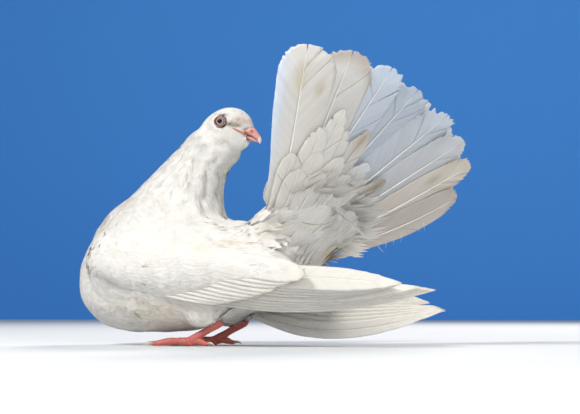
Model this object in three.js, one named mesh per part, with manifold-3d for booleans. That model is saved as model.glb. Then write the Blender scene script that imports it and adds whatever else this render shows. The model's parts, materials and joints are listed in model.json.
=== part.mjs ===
// A white fantail pigeon at life size, crouched on the floor with its tail spread and its head turned
// right round to look back over the tail. Millimetres, +Z up. The breast points to -X and the tail to
// +X, so the bird's left side is -Y. The origin is on the floor, under the middle of the bird's box.
import * as THREE from "three";
import { mergeVertices } from "three/addons/utils/BufferGeometryUtils.js";
import Module from "manifold-3d";

const wasm = await Module();
wasm.setup();

// Driving sizes
const GAP = 0.35; // clear space between two sub-parts that touch
const VANE = 0.6; // thickness of a feather vane
const VANE_PITCH = 0.95; // from one vane to the next that lies over it
const TRUNK_HIGH = 47.5; // height of the middle of the trunk
const TRUNK_HALF = 43; // half width of the trunk without the wings
const EYE = { x: 0.2, y: 8.3, z: 148.1, radius: 4.3 };
const SKULL = { x: -0.5, z: 149.5 }; // where the head stations are measured from
const LID_RADIUS = 3.5;
const HEAD_PITCH = 22; // degrees that the bill axis points down
const TAIL_CENTRE = new THREE.Vector3(38, 0, 64.5); // middle of the root of the tail
const TAIL_LIFT = 39; // degrees that the tail rises above the back
const TAIL_ROLL = 25; // degrees that the tail is twisted towards the bird's left
const TAIL_LENGTH = 136; // from the tail's root to the tips of the middle feathers
const TAIL_HALF_ROOT = 32; // sideways reach of the feather roots
const TAIL_DISH = 11; // how far the sides of the fan curve forwards
const TAIL_SPREAD = 38.5; // degrees from the middle tail feather to the outermost
const RECTRIX_WIDTH = 36; // a tail feather across its widest place
const FAR_WING_DROOP = 4.5; // degrees that the right wing hangs lower than the left
const FAR_WING_SLACK = 9; // how much lower its trailing edge hangs
const SHOULDER = new THREE.Vector3(-70, 0, 58);
const FOOT = { x: -16, y: 19, toe: 4.2 };

const degrees = THREE.MathUtils.degToRad;
const V = (x, y, z) => new THREE.Vector3(x, y, z);
const mix = THREE.MathUtils.lerp;
const ease = THREE.MathUtils.smoothstep;

// Seeded noise, the same in each run
let seed = 20;
function noise(size) {
  seed = (seed * 16807) % 2147483647;
  return ((seed / 2147483647) * 2 - 1) * size;
}

// Finishes
const finish = (color, roughness) => new THREE.MeshStandardMaterial({ color, roughness, metalness: 0 });
const WHITE = finish(0xf3f1ec, 0.85);
const SKIN = finish(0xc96f66, 0.6);
const BILL = finish(0xdca394, 0.45);
const HORN = finish(0xb9a79a, 0.4);
const IRIS = finish(0x8a5a50, 0.12);

// A closed geometry with its faces turned outwards
function closed(points, faces) {
  const at = (k) => points[faces[k]];
  const normal = V(0, 0, 0);
  let volume = 0;
  for (let i = 0; i < faces.length; i += 3) volume += at(i).dot(normal.crossVectors(at(i + 1), at(i + 2)));
  if (volume < 0) faces.reverse();
  return new THREE.BufferGeometry().setFromPoints(points).setIndex(faces);
}

// Closed geometry from rows of points: each row is a ring, and both ends close on their middle.
function skinOf(rows) {
  const count = rows[0].length;
  const points = rows.flat();
  const faces = [];
  const middle = (row) => row.reduce((sum, p) => sum.add(p), V(0, 0, 0)).divideScalar(row.length);
  for (let i = 0; i + 1 < rows.length; i++) {
    for (let j = 0; j < count; j++) {
      const a = i * count + j;
      const b = i * count + ((j + 1) % count);
      faces.push(a, b, b + count, a, b + count, a + count);
    }
  }
  const first = points.push(middle(rows[0])) - 1;
  const last = points.push(middle(rows[rows.length - 1])) - 1;
  const top = (rows.length - 1) * count;
  for (let j = 0; j < count; j++) {
    const k = (j + 1) % count;
    faces.push(first, k, j);
    faces.push(last, top + j, top + k);
  }
  return closed(points, faces);
}

// A number between the keys' numbers, on a smooth curve through them.
function through(values, place) {
  const i = Math.min(values.length - 2, Math.floor(place));
  const at = (k) => values[Math.max(0, Math.min(values.length - 1, k))];
  const t = place - i;
  const [p, q, r, s] = [at(i - 1), at(i), at(i + 1), at(i + 2)];
  return q + 0.5 * t * (r - p + t * (2 * p - 5 * q + 4 * r - s + t * (3 * (q - r) + s - p)));
}

// A body lofted through oval stations. A station is [x, y, z, lean, half across, half sideways], where
// lean is the direction of the axis above +X in degrees. Each station's end is rounded by its neighbours.
function oval(station, sides, grow) {
  const [x, y, z, lean, a, b] = station;
  const across = V(-Math.sin(degrees(lean)), 0, Math.cos(degrees(lean)));
  return Array.from({ length: sides }, (_, j) => {
    const turn = (j / sides) * 2 * Math.PI;
    const point = V(x, y, z).addScaledVector(across, Math.cos(turn) * (a + grow));
    point.y += Math.sin(turn) * (b + grow);
    return point;
  });
}

function body(stations, steps, sides, grow = 0) {
  const rows = [];
  for (let i = 0; i <= steps; i++) {
    const place = (i / steps) * (stations.length - 1);
    rows.push(oval([0, 1, 2, 3, 4, 5].map((k) => through(stations.map((s) => s[k]), place)), sides, grow));
  }
  return skinOf(rows);
}

// Solids, joined and cut
function solid(geometry) {
  const bare = new THREE.BufferGeometry().setAttribute("position", geometry.getAttribute("position"));
  bare.setIndex(geometry.getIndex());
  const merged = mergeVertices(bare, 1e-4);
  const made = new wasm.Manifold(
    new wasm.Mesh({
      numProp: 3,
      vertProperties: merged.attributes.position.array,
      triVerts: new Uint32Array(merged.index.array),
    }),
  );
  if (made.volume() <= 0) throw new Error("a piece is inside out");
  return made;
}

const join = (pieces) => pieces.reduce((sum, piece) => sum.add(piece));
const largest = (made) => made.decompose().reduce((a, b) => (b.volume() > a.volume() ? b : a));

const group = new THREE.Group();
function place(name, made, material) {
  const kept = largest(made).getMesh();
  const geometry = new THREE.BufferGeometry();
  geometry.setAttribute("position", new THREE.BufferAttribute(kept.vertProperties, 3));
  geometry.setIndex(new THREE.BufferAttribute(kept.triVerts, 1));
  geometry.computeVertexNormals();
  const mesh = new THREE.Mesh(geometry, material);
  mesh.name = name;
  group.add(mesh);
}

// The same geometry on the bird's right side
function mirrored(geometry) {
  const other = geometry.clone().scale(1, -1, 1);
  const index = Array.from(other.getIndex().array);
  for (let i = 0; i < index.length; i += 3) [index[i + 1], index[i + 2]] = [index[i + 2], index[i + 1]];
  return other.setIndex(index);
}

// A vane: a thin sheet from a grid of points, split alike on both faces. surface(t, side) gives the
// point, and normal the way that its outer face looks.
const VANE_STEPS = [0, 0.35, 0.65, 0.85, 0.95, 1];
function vane(surface, normal, columns = 2, steps = VANE_STEPS) {
  const points = [];
  const faces = [];
  const cell = (i, j, k) => (i * columns + j) * 2 + k;
  for (const t of steps) {
    for (let j = 0; j < columns; j++) {
      const middle = surface(t, (2 * j) / (columns - 1) - 1);
      points.push(middle.clone().addScaledVector(normal, VANE / 2));
      points.push(middle.clone().addScaledVector(normal, -VANE / 2));
    }
  }
  const quad = (a, b, c, d) => faces.push(a, b, c, a, c, d);
  for (let i = 0; i + 1 < steps.length; i++) {
    for (let j = 0; j + 1 < columns; j++) {
      quad(cell(i, j, 0), cell(i + 1, j, 0), cell(i + 1, j + 1, 0), cell(i, j + 1, 0));
      faces.push(cell(i, j, 1), cell(i + 1, j + 1, 1), cell(i + 1, j, 1));
      faces.push(cell(i, j, 1), cell(i, j + 1, 1), cell(i + 1, j + 1, 1));
    }
    quad(cell(i, 0, 0), cell(i, 0, 1), cell(i + 1, 0, 1), cell(i + 1, 0, 0));
    const j = columns - 1;
    quad(cell(i, j, 0), cell(i + 1, j, 0), cell(i + 1, j, 1), cell(i, j, 1));
  }
  const last = steps.length - 1;
  for (let j = 0; j + 1 < columns; j++) {
    quad(cell(0, j, 0), cell(0, j + 1, 0), cell(0, j + 1, 1), cell(0, j, 1));
    quad(cell(last, j, 0), cell(last, j, 1), cell(last, j + 1, 1), cell(last, j + 1, 0));
  }
  return closed(points, faces);
}

// Share of a feather's full width at t along it. A blunt feather stays broad to its rounded tip.
const blunt = (t) => mix(0.38, 1, ease(t, -0.1, 0.75)) * Math.sqrt(Math.max(0.1, 1 - ease(t, 0.78, 1.04) ** 2));
const pointed = (t) => mix(0.5, 1, ease(t, 0, 0.4)) * Math.sqrt(Math.max(0.06, 1 - ease(t, 0.45, 1.03)));

// Trunk, neck and head, one skin that is then parted
const TRUNK = [
  [-106.8, 0, 43, 0, 3, 3],
  [-105, 0, 43, 0, 12.5, 11.5],
  [-99, 0, 44.5, 0, 23.5, 22],
  [-89, 0, 46, 0, 32.5, 31.5],
  [-74, 0, 47, 0, 38, 38.5],
  [-52, 0, TRUNK_HIGH, 0, 39, 42],
  [-28, 0, TRUNK_HIGH, 0, 38, TRUNK_HALF],
  [-5, 0, 48.5, 0, 35, 42],
  [15, 0, 51, 0, 31, 38.5],
  [33, 0, 52, 0, 25, 31],
  [46, 0, 51, 0, 17, 22],
  [53, 0, 50, 0, 9, 12],
  [56, 0, 50, 0, 3, 4],
];
const NECK = [
  [-50, 0, 62, 90, 50, 39],
  [-47, 0, 74, 87, 48, 39],
  [-40.5, 0, 87, 81, 40.8, 34],
  [-35.5, 0, 95.5, 80, 33.2, 28.5],
  [-31, 0, 104.8, 75, 27.6, 23],
  [-24, 0, 114.7, 69, 22.6, 19.3],
  [-16.5, 0, 124.6, 64, 18.6, 16],
  [-6.3, 0, 134.3, 55.5, 18.4, 13.2],
  [-1, 0, 140, 50, 12.5, 9],
];
// Head stations along the bill axis: [forwards, up, half height, half width]
const HEAD = [
  [-14.5, -11, 2, 2.4],
  [-13.5, -11, 4.6, 6],
  [-10, -7.6, 9.8, 9.8],
  [-3, -3.8, 12.6, 11.4],
  [3, -2.2, 13.2, 11.2],
  [8.9, -1.6, 13, 9.8],
  [13.5, -3.4, 13.2, 7.4],
  [17.5, -3.9, 11.6, 5.2],
  [20.5, -4.6, 8.2, 3.8],
  [22, -4.5, 5.4, 2.6],
  [22.6, -4.3, 2.2, 1.2],
];
const headAxis = V(Math.cos(degrees(HEAD_PITCH)), 0, -Math.sin(degrees(HEAD_PITCH)));
const headUp = V(Math.sin(degrees(HEAD_PITCH)), 0, Math.cos(degrees(HEAD_PITCH)));
const inHead = (forwards, up, y = 0) =>
  V(SKULL.x, y, SKULL.z).addScaledVector(headAxis, forwards).addScaledVector(headUp, up);
const headStations = HEAD.map(([forwards, up, a, b]) => {
  const c = inHead(forwards, up);
  return [c.x, 0, c.z, -HEAD_PITCH, a, b];
});

// A thin flat plate that parts one skin in two
function plate(at, lean) {
  const cut = new THREE.BoxGeometry(160, 160, GAP);
  cut.rotateY(degrees(90 - lean));
  return solid(cut.translate(at.x, at.y, at.z));
}

// The half of space on the upper side of a plate
function above(at, lean, thick = 220) {
  const block = new THREE.BoxGeometry(360, 360, thick);
  block.translate(0, 0, thick / 2);
  block.rotateY(degrees(90 - lean));
  return solid(block.translate(at.x, at.y, at.z));
}

function skinParts() {
  const whole = join([
    solid(body(TRUNK, 20, 20)),
    solid(body(NECK, 16, 18)),
    solid(body(headStations, 16, 18)),
  ]);
  const nape = V(-9, 0, 136);
  const collar = V(-46, 0, 86);
  const overNape = whole.intersect(above(nape, 66));
  const rest = whole.subtract(above(nape, 66)).subtract(plate(nape, 66));
  const overCollar = rest.intersect(above(collar, 94));
  const trunk = rest.subtract(above(collar, 94)).subtract(plate(collar, 94));
  return { head: overNape, neck: overCollar, trunk };
}

// The two halves of the bill, in stations along the bill axis: [forwards, up, half height, half width]
const UPPER_BILL = [
  [11, -0.6, 2.6, 5.4],
  [16, -0.3, 2.9, 4.9],
  [20, -0.2, 3, 4.1],
  [22.3, -0.6, 2.6, 3.2],
  [25, -1.4, 2.05, 2.4],
  [27.3, -2.5, 1.6, 1.7],
  [28.8, -3.9, 1.2, 1.2],
  [29.3, -5.3, 0.45, 0.5],
];
const LOWER_BILL = [
  [11, -4.3, 1.5, 4.8],
  [17, -4.4, 1.5, 4],
  [21, -4.6, 1.45, 2.8],
  [24.6, -4.8, 1.1, 2],
  [26.6, -4.85, 0.6, 1.2],
  [27.3, -4.85, 0.25, 0.5],
];
function billHalf(stations, hook, grow = 0) {
  const placed = stations.map(([forwards, up, a, b]) => {
    const c = inHead(forwards, up);
    return [c.x, 0, c.z, -HEAD_PITCH - ease(forwards, 24, 30) * hook, a, b];
  });
  return solid(body(placed, 11, 14, grow));
}
const HOOK = 34; // degrees that the tip of the upper half bends down

function nostrils() {
  return join(
    [-1, 1].map((side) => {
      const slit = new THREE.SphereGeometry(1, 8, 6).scale(2.2, 0.9, 0.45);
      slit.rotateY(degrees(HEAD_PITCH + 14));
      const at = inHead(22.2, 0.3, side * 2.9);
      return solid(slit.translate(at.x, at.y, at.z));
    }),
  );
}

const eyeBall = (side, grow = 0) => {
  const ball = new THREE.SphereGeometry(EYE.radius + grow, 14, 8);
  return solid(ball.translate(EYE.x, side * EYE.y, EYE.z));
};

// The lids: a low ring of bare skin round each eye
function lids(side) {
  const ring = new THREE.TorusGeometry(LID_RADIUS, 0.75, 6, 14).rotateX(Math.PI / 2);
  ring.rotateZ(degrees(side * -6));
  return solid(ring.translate(EYE.x, side * (EYE.y + 2.9), EYE.z));
}

// Wings. A wing is made on the left and mirrored for the right.
const WING_MASS = [
  [-86, -31, 57, 0, 3, 3],
  [-84.5, -30, 57, 0, 11, 9],
  [-79, -28, 57, 0, 18.5, 15.5],
  [-68, -25, 56, 0, 24.5, 22.5],
  [-50, -22, 55, 0, 27.5, 27.5],
  [-28, -20, 54, 0, 28.5, 30],
  [-5, -20, 53.5, 0, 28, 29],
  [16, -22, 52.5, 0, 24.5, 23.5],
  [34, -26, 50.5, 0, 18, 15],
  [47, -30, 48.5, 0, 11, 8],
  [54, -32.5, 47, 0, 3, 3],
];
const massAt = (x) => {
  let i = 0;
  while (i < WING_MASS.length - 2 && WING_MASS[i + 1][0] < x) i++;
  const t = Math.min(1, (x - WING_MASS[i][0]) / (WING_MASS[i + 1][0] - WING_MASS[i][0]));
  return WING_MASS[i].map((v, k) => mix(v, WING_MASS[i + 1][k], t));
};
// The wing's outer side at a place seen from the left
function wingSide(x, z) {
  const [, yc, zc, , a, b] = massAt(Math.max(-80, x));
  const high = Math.min(0.94, Math.abs(z - zc) / Math.max(a, 6));
  return yc - b * Math.sqrt(1 - high * high);
}

// A wing feather from root to tip, both seen from the left. The root is sunk into the wing, reach is the
// tip's place sideways, and tilt is how much the lower edge stands out over the feather below it.
function wingVane({ root, tip, half, reach, tilt, share, bow = 0 }) {
  const along = V(tip[0] - root[0], 0, tip[1] - root[1]);
  const length = along.length();
  along.normalize();
  const down = V(along.z, 0, -along.x);
  const rootY = wingSide(root[0], root[1]) + ROOT_DEPTH;
  const surface = (t, side) => {
    const wide = side * half * share(t);
    const p = V(root[0], mix(rootY, reach, ease(t, 0, 0.6)), root[1]);
    p.addScaledVector(along, length * t);
    p.addScaledVector(down, wide - bow * Math.sin(Math.PI * t));
    p.y -= side * tilt * share(t);
    return p;
  };
  return vane(surface, V(0, -1, 0));
}

const ROOT_DEPTH = 5;
const PRIMARIES = 7;
const LONG_PRIMARIES = 4; // of these, how many reach the wing's tip
const SECONDARIES = 7;
const COVERTS = 7;
// slack lowers the trailing edge of a wing that hangs looser
function wingFeathers(slack) {
  const made = [];
  const row = (count, feather) => {
    for (let i = 0; i < count; i++) made.push(wingVane(feather(i / (count - 1), i)));
  };
  // From the outermost and longest primary up to the innermost. The upper ones end together, short of it.
  row(PRIMARIES, (k, i) => ({
    root: [mix(-12, 20, k), mix(32, 46, k)],
    tip: [(i < LONG_PRIMARIES ? 145 - 3 * i : 106 + 3 * i) + noise(0.5), mix(35.5, 39.5, k) + slack * 0.5],
    half: mix(5.6, 7.5, k),
    reach: mix(-15, -33, k),
    tilt: 2,
    share: pointed,
    bow: mix(-6 - slack, 0.5, k),
  }));
  // From the lowest secondary up to the innermost tertial
  row(SECONDARIES, (k) => ({
    root: [mix(-40, 2, k), mix(38, 58, k)],
    tip: [mix(18, 71, k) + noise(1), mix(33, 47, k ** 1.4) - slack * 0.6],
    half: mix(7, 10.5, k),
    reach: mix(-42, -44.5, k) + (k > 0.8 ? 4 : 0),
    tilt: 2.2,
    share: blunt,
  }));
  // The greater coverts over their roots
  row(COVERTS, (k) => ({
    root: [mix(-66, -26, k), mix(42, 64, k)],
    tip: [mix(-22, 26, k) + noise(1), mix(37, 57, k)],
    half: mix(7, 9, k),
    reach: wingSide(mix(-22, 26, k), mix(37, 57, k)) - 2.2,
    tilt: 2,
    share: blunt,
  }));
  return made;
}

function wingGeometries(slack = 0) {
  return [body(WING_MASS, 16, 16), ...wingFeathers(slack)];
}

// Tail: a deep soft root with the fan of tail feathers and the coverts under and over it
const rise = degrees(TAIL_LIFT);
const roll = degrees(TAIL_ROLL);
const tailAxis = V(Math.cos(rise), 0, Math.sin(rise));
const flatUnder = V(Math.sin(rise), 0, -Math.cos(rise));
const tailUnder = flatUnder.clone().multiplyScalar(Math.cos(roll)).addScaledVector(V(0, -1, 0), Math.sin(roll));
const tailLeft = V(0, -1, 0).multiplyScalar(Math.cos(roll)).addScaledVector(flatUnder, -Math.sin(roll));

// A point of the fan: p along the tail, q to the bird's left, low towards the underside
function onFan(p, q, low) {
  const dish = TAIL_DISH * (q / 85) ** 2 * ease(p, 10, 110);
  return TAIL_CENTRE.clone()
    .addScaledVector(tailAxis, p)
    .addScaledVector(tailLeft, q)
    .addScaledVector(tailUnder, low - dish);
}

// The soft root: [along, half sideways, half deep, to the underside]
const TAIL_ROOT = [
  [-32, 8, 8, 0],
  [-28, 20, 15, 0],
  [-18, 28, 19, 0],
  [-5, 33, 18.5, 1],
  [8, 37, 15, 2],
  [22, 37.5, 10.5, 3],
  [34, 35, 7, 4],
  [44, 28, 5, 5],
  [50, 12, 3, 6],
];
function tailRoot(grow = 0) {
  const sides = 18;
  const steps = 11;
  const rows = [];
  for (let i = 0; i <= steps; i++) {
    const at = (i / steps) * (TAIL_ROOT.length - 1);
    const [p, a, b, low] = [0, 1, 2, 3].map((k) => through(TAIL_ROOT.map((s) => s[k]), at));
    rows.push(
      Array.from({ length: sides }, (_, j) => {
        const turn = (j / sides) * 2 * Math.PI;
        return onFan(p, (a + grow) * Math.sin(turn), low + (b + grow) * Math.cos(turn));
      }),
    );
  }
  return skinOf(rows);
}

// The middle line of a tail feather at sideways place u, from -1 on the right to 1 on the left
function tailLine(u, from, reach) {
  const points = [V(from + 3 * (1 - u * u), TAIL_HALF_ROOT * u, 0)];
  const steps = 12;
  for (let i = 0; i < steps; i++) {
    const angle = degrees(u * TAIL_SPREAD * mix(0.75, 1, ease((i + 0.5) / steps, 0, 0.5)));
    const step = reach / steps;
    const last = points[points.length - 1];
    points.push(V(last.x + step * Math.cos(angle), last.y + step * Math.sin(angle), angle));
  }
  points[0].z = points[1].z;
  return (t) => {
    const place = t * steps;
    const i = Math.min(steps - 1, Math.floor(place));
    return points[i].clone().lerp(points[i + 1], place - i);
  };
}

const ROOTS_AT = 12; // how far along the tail its feathers start
const stacked = [];
// How far a new vane lies from the fan's middle sheet, so that it clears each vane that it lies over
function layer(q, half, way) {
  let low = 0;
  for (const other of stacked) {
    if (Math.abs(other.q - q) < other.half + half) low = Math.max(low, way * other.low + VANE_PITCH);
  }
  stacked.push({ q, half, low: way * low });
  return way * low;
}

function tailVane(u, from, reach, width, outer, low, share, columns, steps) {
  const line = tailLine(u, from, reach);
  const surface = (t, side) => {
    const { x, y, z: angle } = line(t);
    const web = side * Math.sign(u || 1) > 0 ? outer : 1 - outer;
    const wide = side * width * web * share(t);
    const lift = low * ease(x, ROOTS_AT, ROOTS_AT + 24);
    return onFan(x - wide * Math.sin(angle), y + wide * Math.cos(angle), lift);
  };
  return vane(surface, tailUnder, columns, steps);
}

const RECTRIX_STEPS = [0, 0.3, 0.6, 0.82, 0.93, 0.985, 1];
const FRONT_ROW = 4; // tail feathers on each side of the middle one, in the row nearest the underside
const BACK_ROW = 3; // on each side, in the row behind it
const LAST_SHORTER = 0.13; // share by which the rightmost feather falls short
function fanFeathers() {
  const made = [];
  const length = TAIL_LENGTH - ROOTS_AT;
  const add = (u, reach) => {
    const low = layer(90 * u, RECTRIX_WIDTH / 2, 1);
    const shorter = u < 0 ? 1 + (u > -1 ? 0.04 : LAST_SHORTER) * u : 1;
    const outer = mix(0.5, 0.36, Math.abs(u));
    const long = (reach + noise(1.5)) * shorter;
    made.push(tailVane(u, ROOTS_AT, long, RECTRIX_WIDTH, outer, low, blunt, 3, RECTRIX_STEPS));
  };
  for (let i = 0; i < BACK_ROW; i++) {
    for (const side of [-1, 1]) add((side * (i + 0.5)) / FRONT_ROW, length - 2);
  }
  add(0, length + 1);
  for (let i = 1; i <= FRONT_ROW; i++) {
    for (const side of [-1, 1]) add((side * i) / FRONT_ROW, length - 4 * (i / FRONT_ROW) ** 2);
  }
  return made;
}

const TAIL_TIERS = [
  { count: 6, spread: 0.7, reach: 66, width: 15, way: 1 }, // long coverts under the tail
  { count: 6, spread: 0.8, reach: 42, width: 17, way: 1 }, // short ones over their roots
  { count: 6, spread: 0.85, reach: 48, width: 19, way: -1 }, // coverts on the upper side
];
function tailCoverts() {
  const made = [];
  for (const { count, spread, reach, width, way } of TAIL_TIERS) {
    for (let i = 0; i < count; i++) {
      const k = (2 * i) / (count - 1) - 1;
      const long = reach * (1 - 0.12 * k * k) + noise(6);
      const low = layer(k * spread * 72, width / 2, way);
      made.push(tailVane(k * spread, ROOTS_AT, long, width, 0.5, low, blunt, 2, VANE_STEPS));
    }
  }
  return made;
}

// Legs: a feathered thigh, a bent shank and four toes with claws
function limb(points, radii, sides = 10, flat = 1) {
  const rows = points.map((p, i) => {
    const before = points[Math.max(0, i - 1)];
    const after = points[Math.min(points.length - 1, i + 1)];
    const along = after.clone().sub(before).normalize();
    const side = V(0, 1, 0).addScaledVector(along, -along.y).normalize();
    const up = along.clone().cross(side);
    return Array.from({ length: sides }, (_, j) => {
      const turn = ((j + 0.5) / sides) * 2 * Math.PI;
      const q = p.clone().addScaledVector(side, radii[i] * Math.cos(turn));
      return q.addScaledVector(up, radii[i] * flat * Math.sin(turn));
    });
  });
  return skinOf(rows);
}

const ankle = (side) => V(FOOT.x + 20, side * (FOOT.y + 1), 15);
const foot = (side) => V(FOOT.x, side * FOOT.y, 3.4);

function thigh(side, grow = 0) {
  const top = V(FOOT.x + 4, side * 21, 27);
  const low = ankle(side).add(V(0.5, 0, 2));
  const at = (t) => top.clone().lerp(low, t);
  const radii = [13, 13, 11, 7.6, 5.2, 2].map((radius) => radius + grow);
  return solid(limb([0, 0.3, 0.6, 0.85, 1, 1.08].map(at), radii, 12));
}

// Toes: [direction from straight ahead in degrees, length]
const TOES = [
  [-27, 23],
  [-2, 29],
  [25, 24],
  [172, 13],
];
const toeWay = (side, angle) => V(-Math.cos(degrees(angle)), side * Math.sin(degrees(angle)), 0);
const toePoint = (side, [angle, length], t) => {
  const knuckle = 1.1 * Math.sin(Math.PI * Math.min(1, t * 1.15));
  const p = foot(side).addScaledVector(toeWay(side, angle), length * t);
  p.z = mix(FOOT.toe * 0.62, 1.75, t) + knuckle;
  return p;
};

function leg(side) {
  const shank = limb(
    [ankle(side).add(V(1.5, 0, 1.5)), ankle(side), ankle(side).lerp(foot(side), 0.5), foot(side)],
    [2, 2.9, 2.2, 3],
    8,
  );
  const toes = TOES.map((toe) => {
    const steps = [-0.06, 0.12, 0.34, 0.55, 0.78, 1];
    const radii = [2, 2.3, 1.95, 2.1, 1.65, 1.3];
    return limb(steps.map((t) => toePoint(side, toe, t)), radii, 7);
  });
  const pad = new THREE.SphereGeometry(3.5, 10, 6).translate(FOOT.x, side * FOOT.y, 2.4);
  const floor = new THREE.BoxGeometry(120, 120, 20).translate(0, 0, -10);
  return join([solid(shank), solid(pad), ...toes.map(solid)]).subtract(solid(floor));
}

function claw(side, toe) {
  const way = toeWay(side, toe[0]);
  const tip = toePoint(side, toe, 1);
  const at = (forwards, z) => {
    const p = tip.clone().addScaledVector(way, forwards);
    p.z = z;
    return p;
  };
  const curve = [at(0.45, 1.8), at(2, 2.2), at(3.8, 1.9), at(5.2, 0.75)];
  const floor = new THREE.BoxGeometry(200, 200, 20).translate(0, 0, -10);
  return solid(limb(curve, [1.15, 1.05, 0.75, 0.35], 6)).subtract(solid(floor));
}

function build() {
  const { head, neck, trunk } = skinParts();
  const trunkRoom = join([solid(body(TRUNK, 20, 20, GAP)), solid(body(NECK, 16, 18, GAP))]);

  const overMouth = billHalf(UPPER_BILL, HOOK, GAP);
  const upper = billHalf(UPPER_BILL, HOOK).subtract(nostrils());
  const lower = billHalf(LOWER_BILL, 0).subtract(overMouth);
  const billRoom = overMouth.add(billHalf(LOWER_BILL, 0, GAP));
  const eyeRooms = join([-1, 1].map((side) => eyeBall(side, GAP)));
  const rims = join([-1, 1].map((side) => lids(side)));
  const skull = join([head, rims]).subtract(billRoom).subtract(eyeRooms);
  place("head", skull, WHITE);
  place("beak_upper", upper, BILL);
  place("beak_lower", lower, BILL);
  // The head looks back, so its own left is the trunk's right
  for (const [side, word] of [[1, "left"], [-1, "right"]]) place("eye_" + word, eyeBall(side), IRIS);
  place("neck", neck, WHITE);

  place("torso", trunk, WHITE);

  const rootRoom = solid(tailRoot(GAP));
  const wingRoom = join([trunkRoom, rootRoom, thigh(-1, GAP), thigh(1, GAP)]);
  place("wing_left", join(wingGeometries().map((g) => solid(g))).subtract(wingRoom), WHITE);
  const droop = (g) => {
    const turned = mirrored(g).translate(-SHOULDER.x, 0, -SHOULDER.z);
    return turned.rotateY(degrees(FAR_WING_DROOP)).translate(SHOULDER.x, 0, SHOULDER.z);
  };
  place("wing_right", join(wingGeometries(FAR_WING_SLACK).map((g) => solid(droop(g)))).subtract(wingRoom), WHITE);

  const fan = [tailRoot(), ...fanFeathers(), ...tailCoverts()].map((g) => solid(g));
  place("tail", join(fan).subtract(trunkRoom), WHITE);

  for (const [side, word] of [[-1, "left"], [1, "right"]]) {
    const shankRoom = solid(limb([ankle(side).add(V(1.9, 0, 1.9)), foot(side)], [3.3, 2.6], 10));
    const muscle = thigh(side).subtract(trunkRoom).subtract(shankRoom);
    place("thigh_" + word, muscle, WHITE);
    place("leg_" + word, leg(side).subtract(muscle), SKIN);
    TOES.forEach((toe, i) => place("claw_" + word + "_" + (i + 1), claw(side, toe), HORN));
  }
}

build();

// The origin goes to the floor under the middle of the box
const box = new THREE.Box3().setFromObject(group);
group.position.set(-(box.min.x + box.max.x) / 2, -(box.min.y + box.max.y) / 2, -box.min.z);

export default group;
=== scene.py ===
# A white fantail pigeon at life size, crouched on the floor with its tail fanned and its head turned
# right round to look back over the tail. Places are in millimetres in the bird's own frame: the breast
# points to -X and the tail to +X, so the bird's left side is -Y, and the floor is at Z 0.
import functools
import json
import math

import bpy
import numpy as np
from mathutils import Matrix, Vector
from mathutils.bvhtree import BVHTree

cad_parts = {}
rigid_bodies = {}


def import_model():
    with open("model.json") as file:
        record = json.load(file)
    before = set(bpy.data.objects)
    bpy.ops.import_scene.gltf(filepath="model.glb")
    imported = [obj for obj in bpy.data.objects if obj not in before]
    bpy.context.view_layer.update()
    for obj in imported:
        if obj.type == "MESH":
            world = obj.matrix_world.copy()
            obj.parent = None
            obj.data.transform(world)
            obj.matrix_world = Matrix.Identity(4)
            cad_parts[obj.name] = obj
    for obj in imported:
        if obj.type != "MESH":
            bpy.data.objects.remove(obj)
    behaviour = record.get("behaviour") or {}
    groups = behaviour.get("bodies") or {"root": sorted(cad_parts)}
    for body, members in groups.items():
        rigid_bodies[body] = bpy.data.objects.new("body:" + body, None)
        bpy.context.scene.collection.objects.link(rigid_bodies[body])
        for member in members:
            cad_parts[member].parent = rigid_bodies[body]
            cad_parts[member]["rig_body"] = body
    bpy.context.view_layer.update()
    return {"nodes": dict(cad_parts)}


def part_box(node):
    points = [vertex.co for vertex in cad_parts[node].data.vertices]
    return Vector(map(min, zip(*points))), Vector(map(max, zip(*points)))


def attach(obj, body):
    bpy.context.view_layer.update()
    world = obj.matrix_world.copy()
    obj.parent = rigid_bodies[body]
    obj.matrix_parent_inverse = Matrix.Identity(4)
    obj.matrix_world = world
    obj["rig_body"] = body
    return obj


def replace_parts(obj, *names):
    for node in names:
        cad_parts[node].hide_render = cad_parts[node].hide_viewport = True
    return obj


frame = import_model()

rng = np.random.default_rng(11)

# Places and sizes that the parts share
EYE = np.array([0.2, 8.3, 148.1])
EYE_RADIUS = 4.3
LID_RADIUS = 3.5
LID_OVAL = 0.86  # height of the eye's opening by its width
SKULL = np.array([-0.5, 0.0, 149.5])
HEAD_PITCH = math.radians(22)  # how far the bill points down
NAPE = np.array([-9.0, 0.0, 136.0])
NAPE_LEAN = math.radians(24)
COLLAR = np.array([-46.0, 0.0, 86.0])
SHOULDER = np.array([-70.0, 0.0, 58.0])
FAR_WING_DROOP = math.radians(4.5)  # how much further down the right wing points
FAR_WING_SLACK = 9.0  # how much further its flight feathers sag
WING_ROOT_DEPTH = 5.0  # how deep in the wing its flight feathers start
TAIL_CENTRE = np.array([38.0, 0.0, 64.5])
TAIL_LIFT = math.radians(39)
TAIL_ROLL = math.radians(25)  # how far the fan is twisted towards the bird's left
TAIL_HALF_ROOT = 32.0  # sideways reach of the tail feathers' roots
TAIL_DISH = 11.0  # how far the fan has curved forwards at TAIL_DISH_AT from its middle
TAIL_DISH_AT = 85.0
TAIL_SPREAD = math.radians(38.5)  # from the middle tail feather to the outermost
TAIL_ROOTS_AT = 12.0  # how far along the tail its feathers start
FOOT = np.array([-16.0, 19.0, 3.4])
TOE_THICK = 4.2  # the toes where they leave the foot
VANE = 0.3  # thickness of a vane, drawn about twice the real one
BARB_SLOPE = 1.25  # how far a barb runs forwards for each millimetre outwards
TIP_SLOPE = 7.0  # how much further the last barbs do, beside the shaft's tip
PATCH = 0.003  # size of a small feather's patch on the bake map


# Small sums on arrays of places

def ease(x, low, high):
    """Smooth step from 0 at low to 1 at high."""
    t = np.clip((np.asarray(x, float) - low) / (high - low), 0, 1)
    return t * t * (3 - 2 * t)


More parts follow.
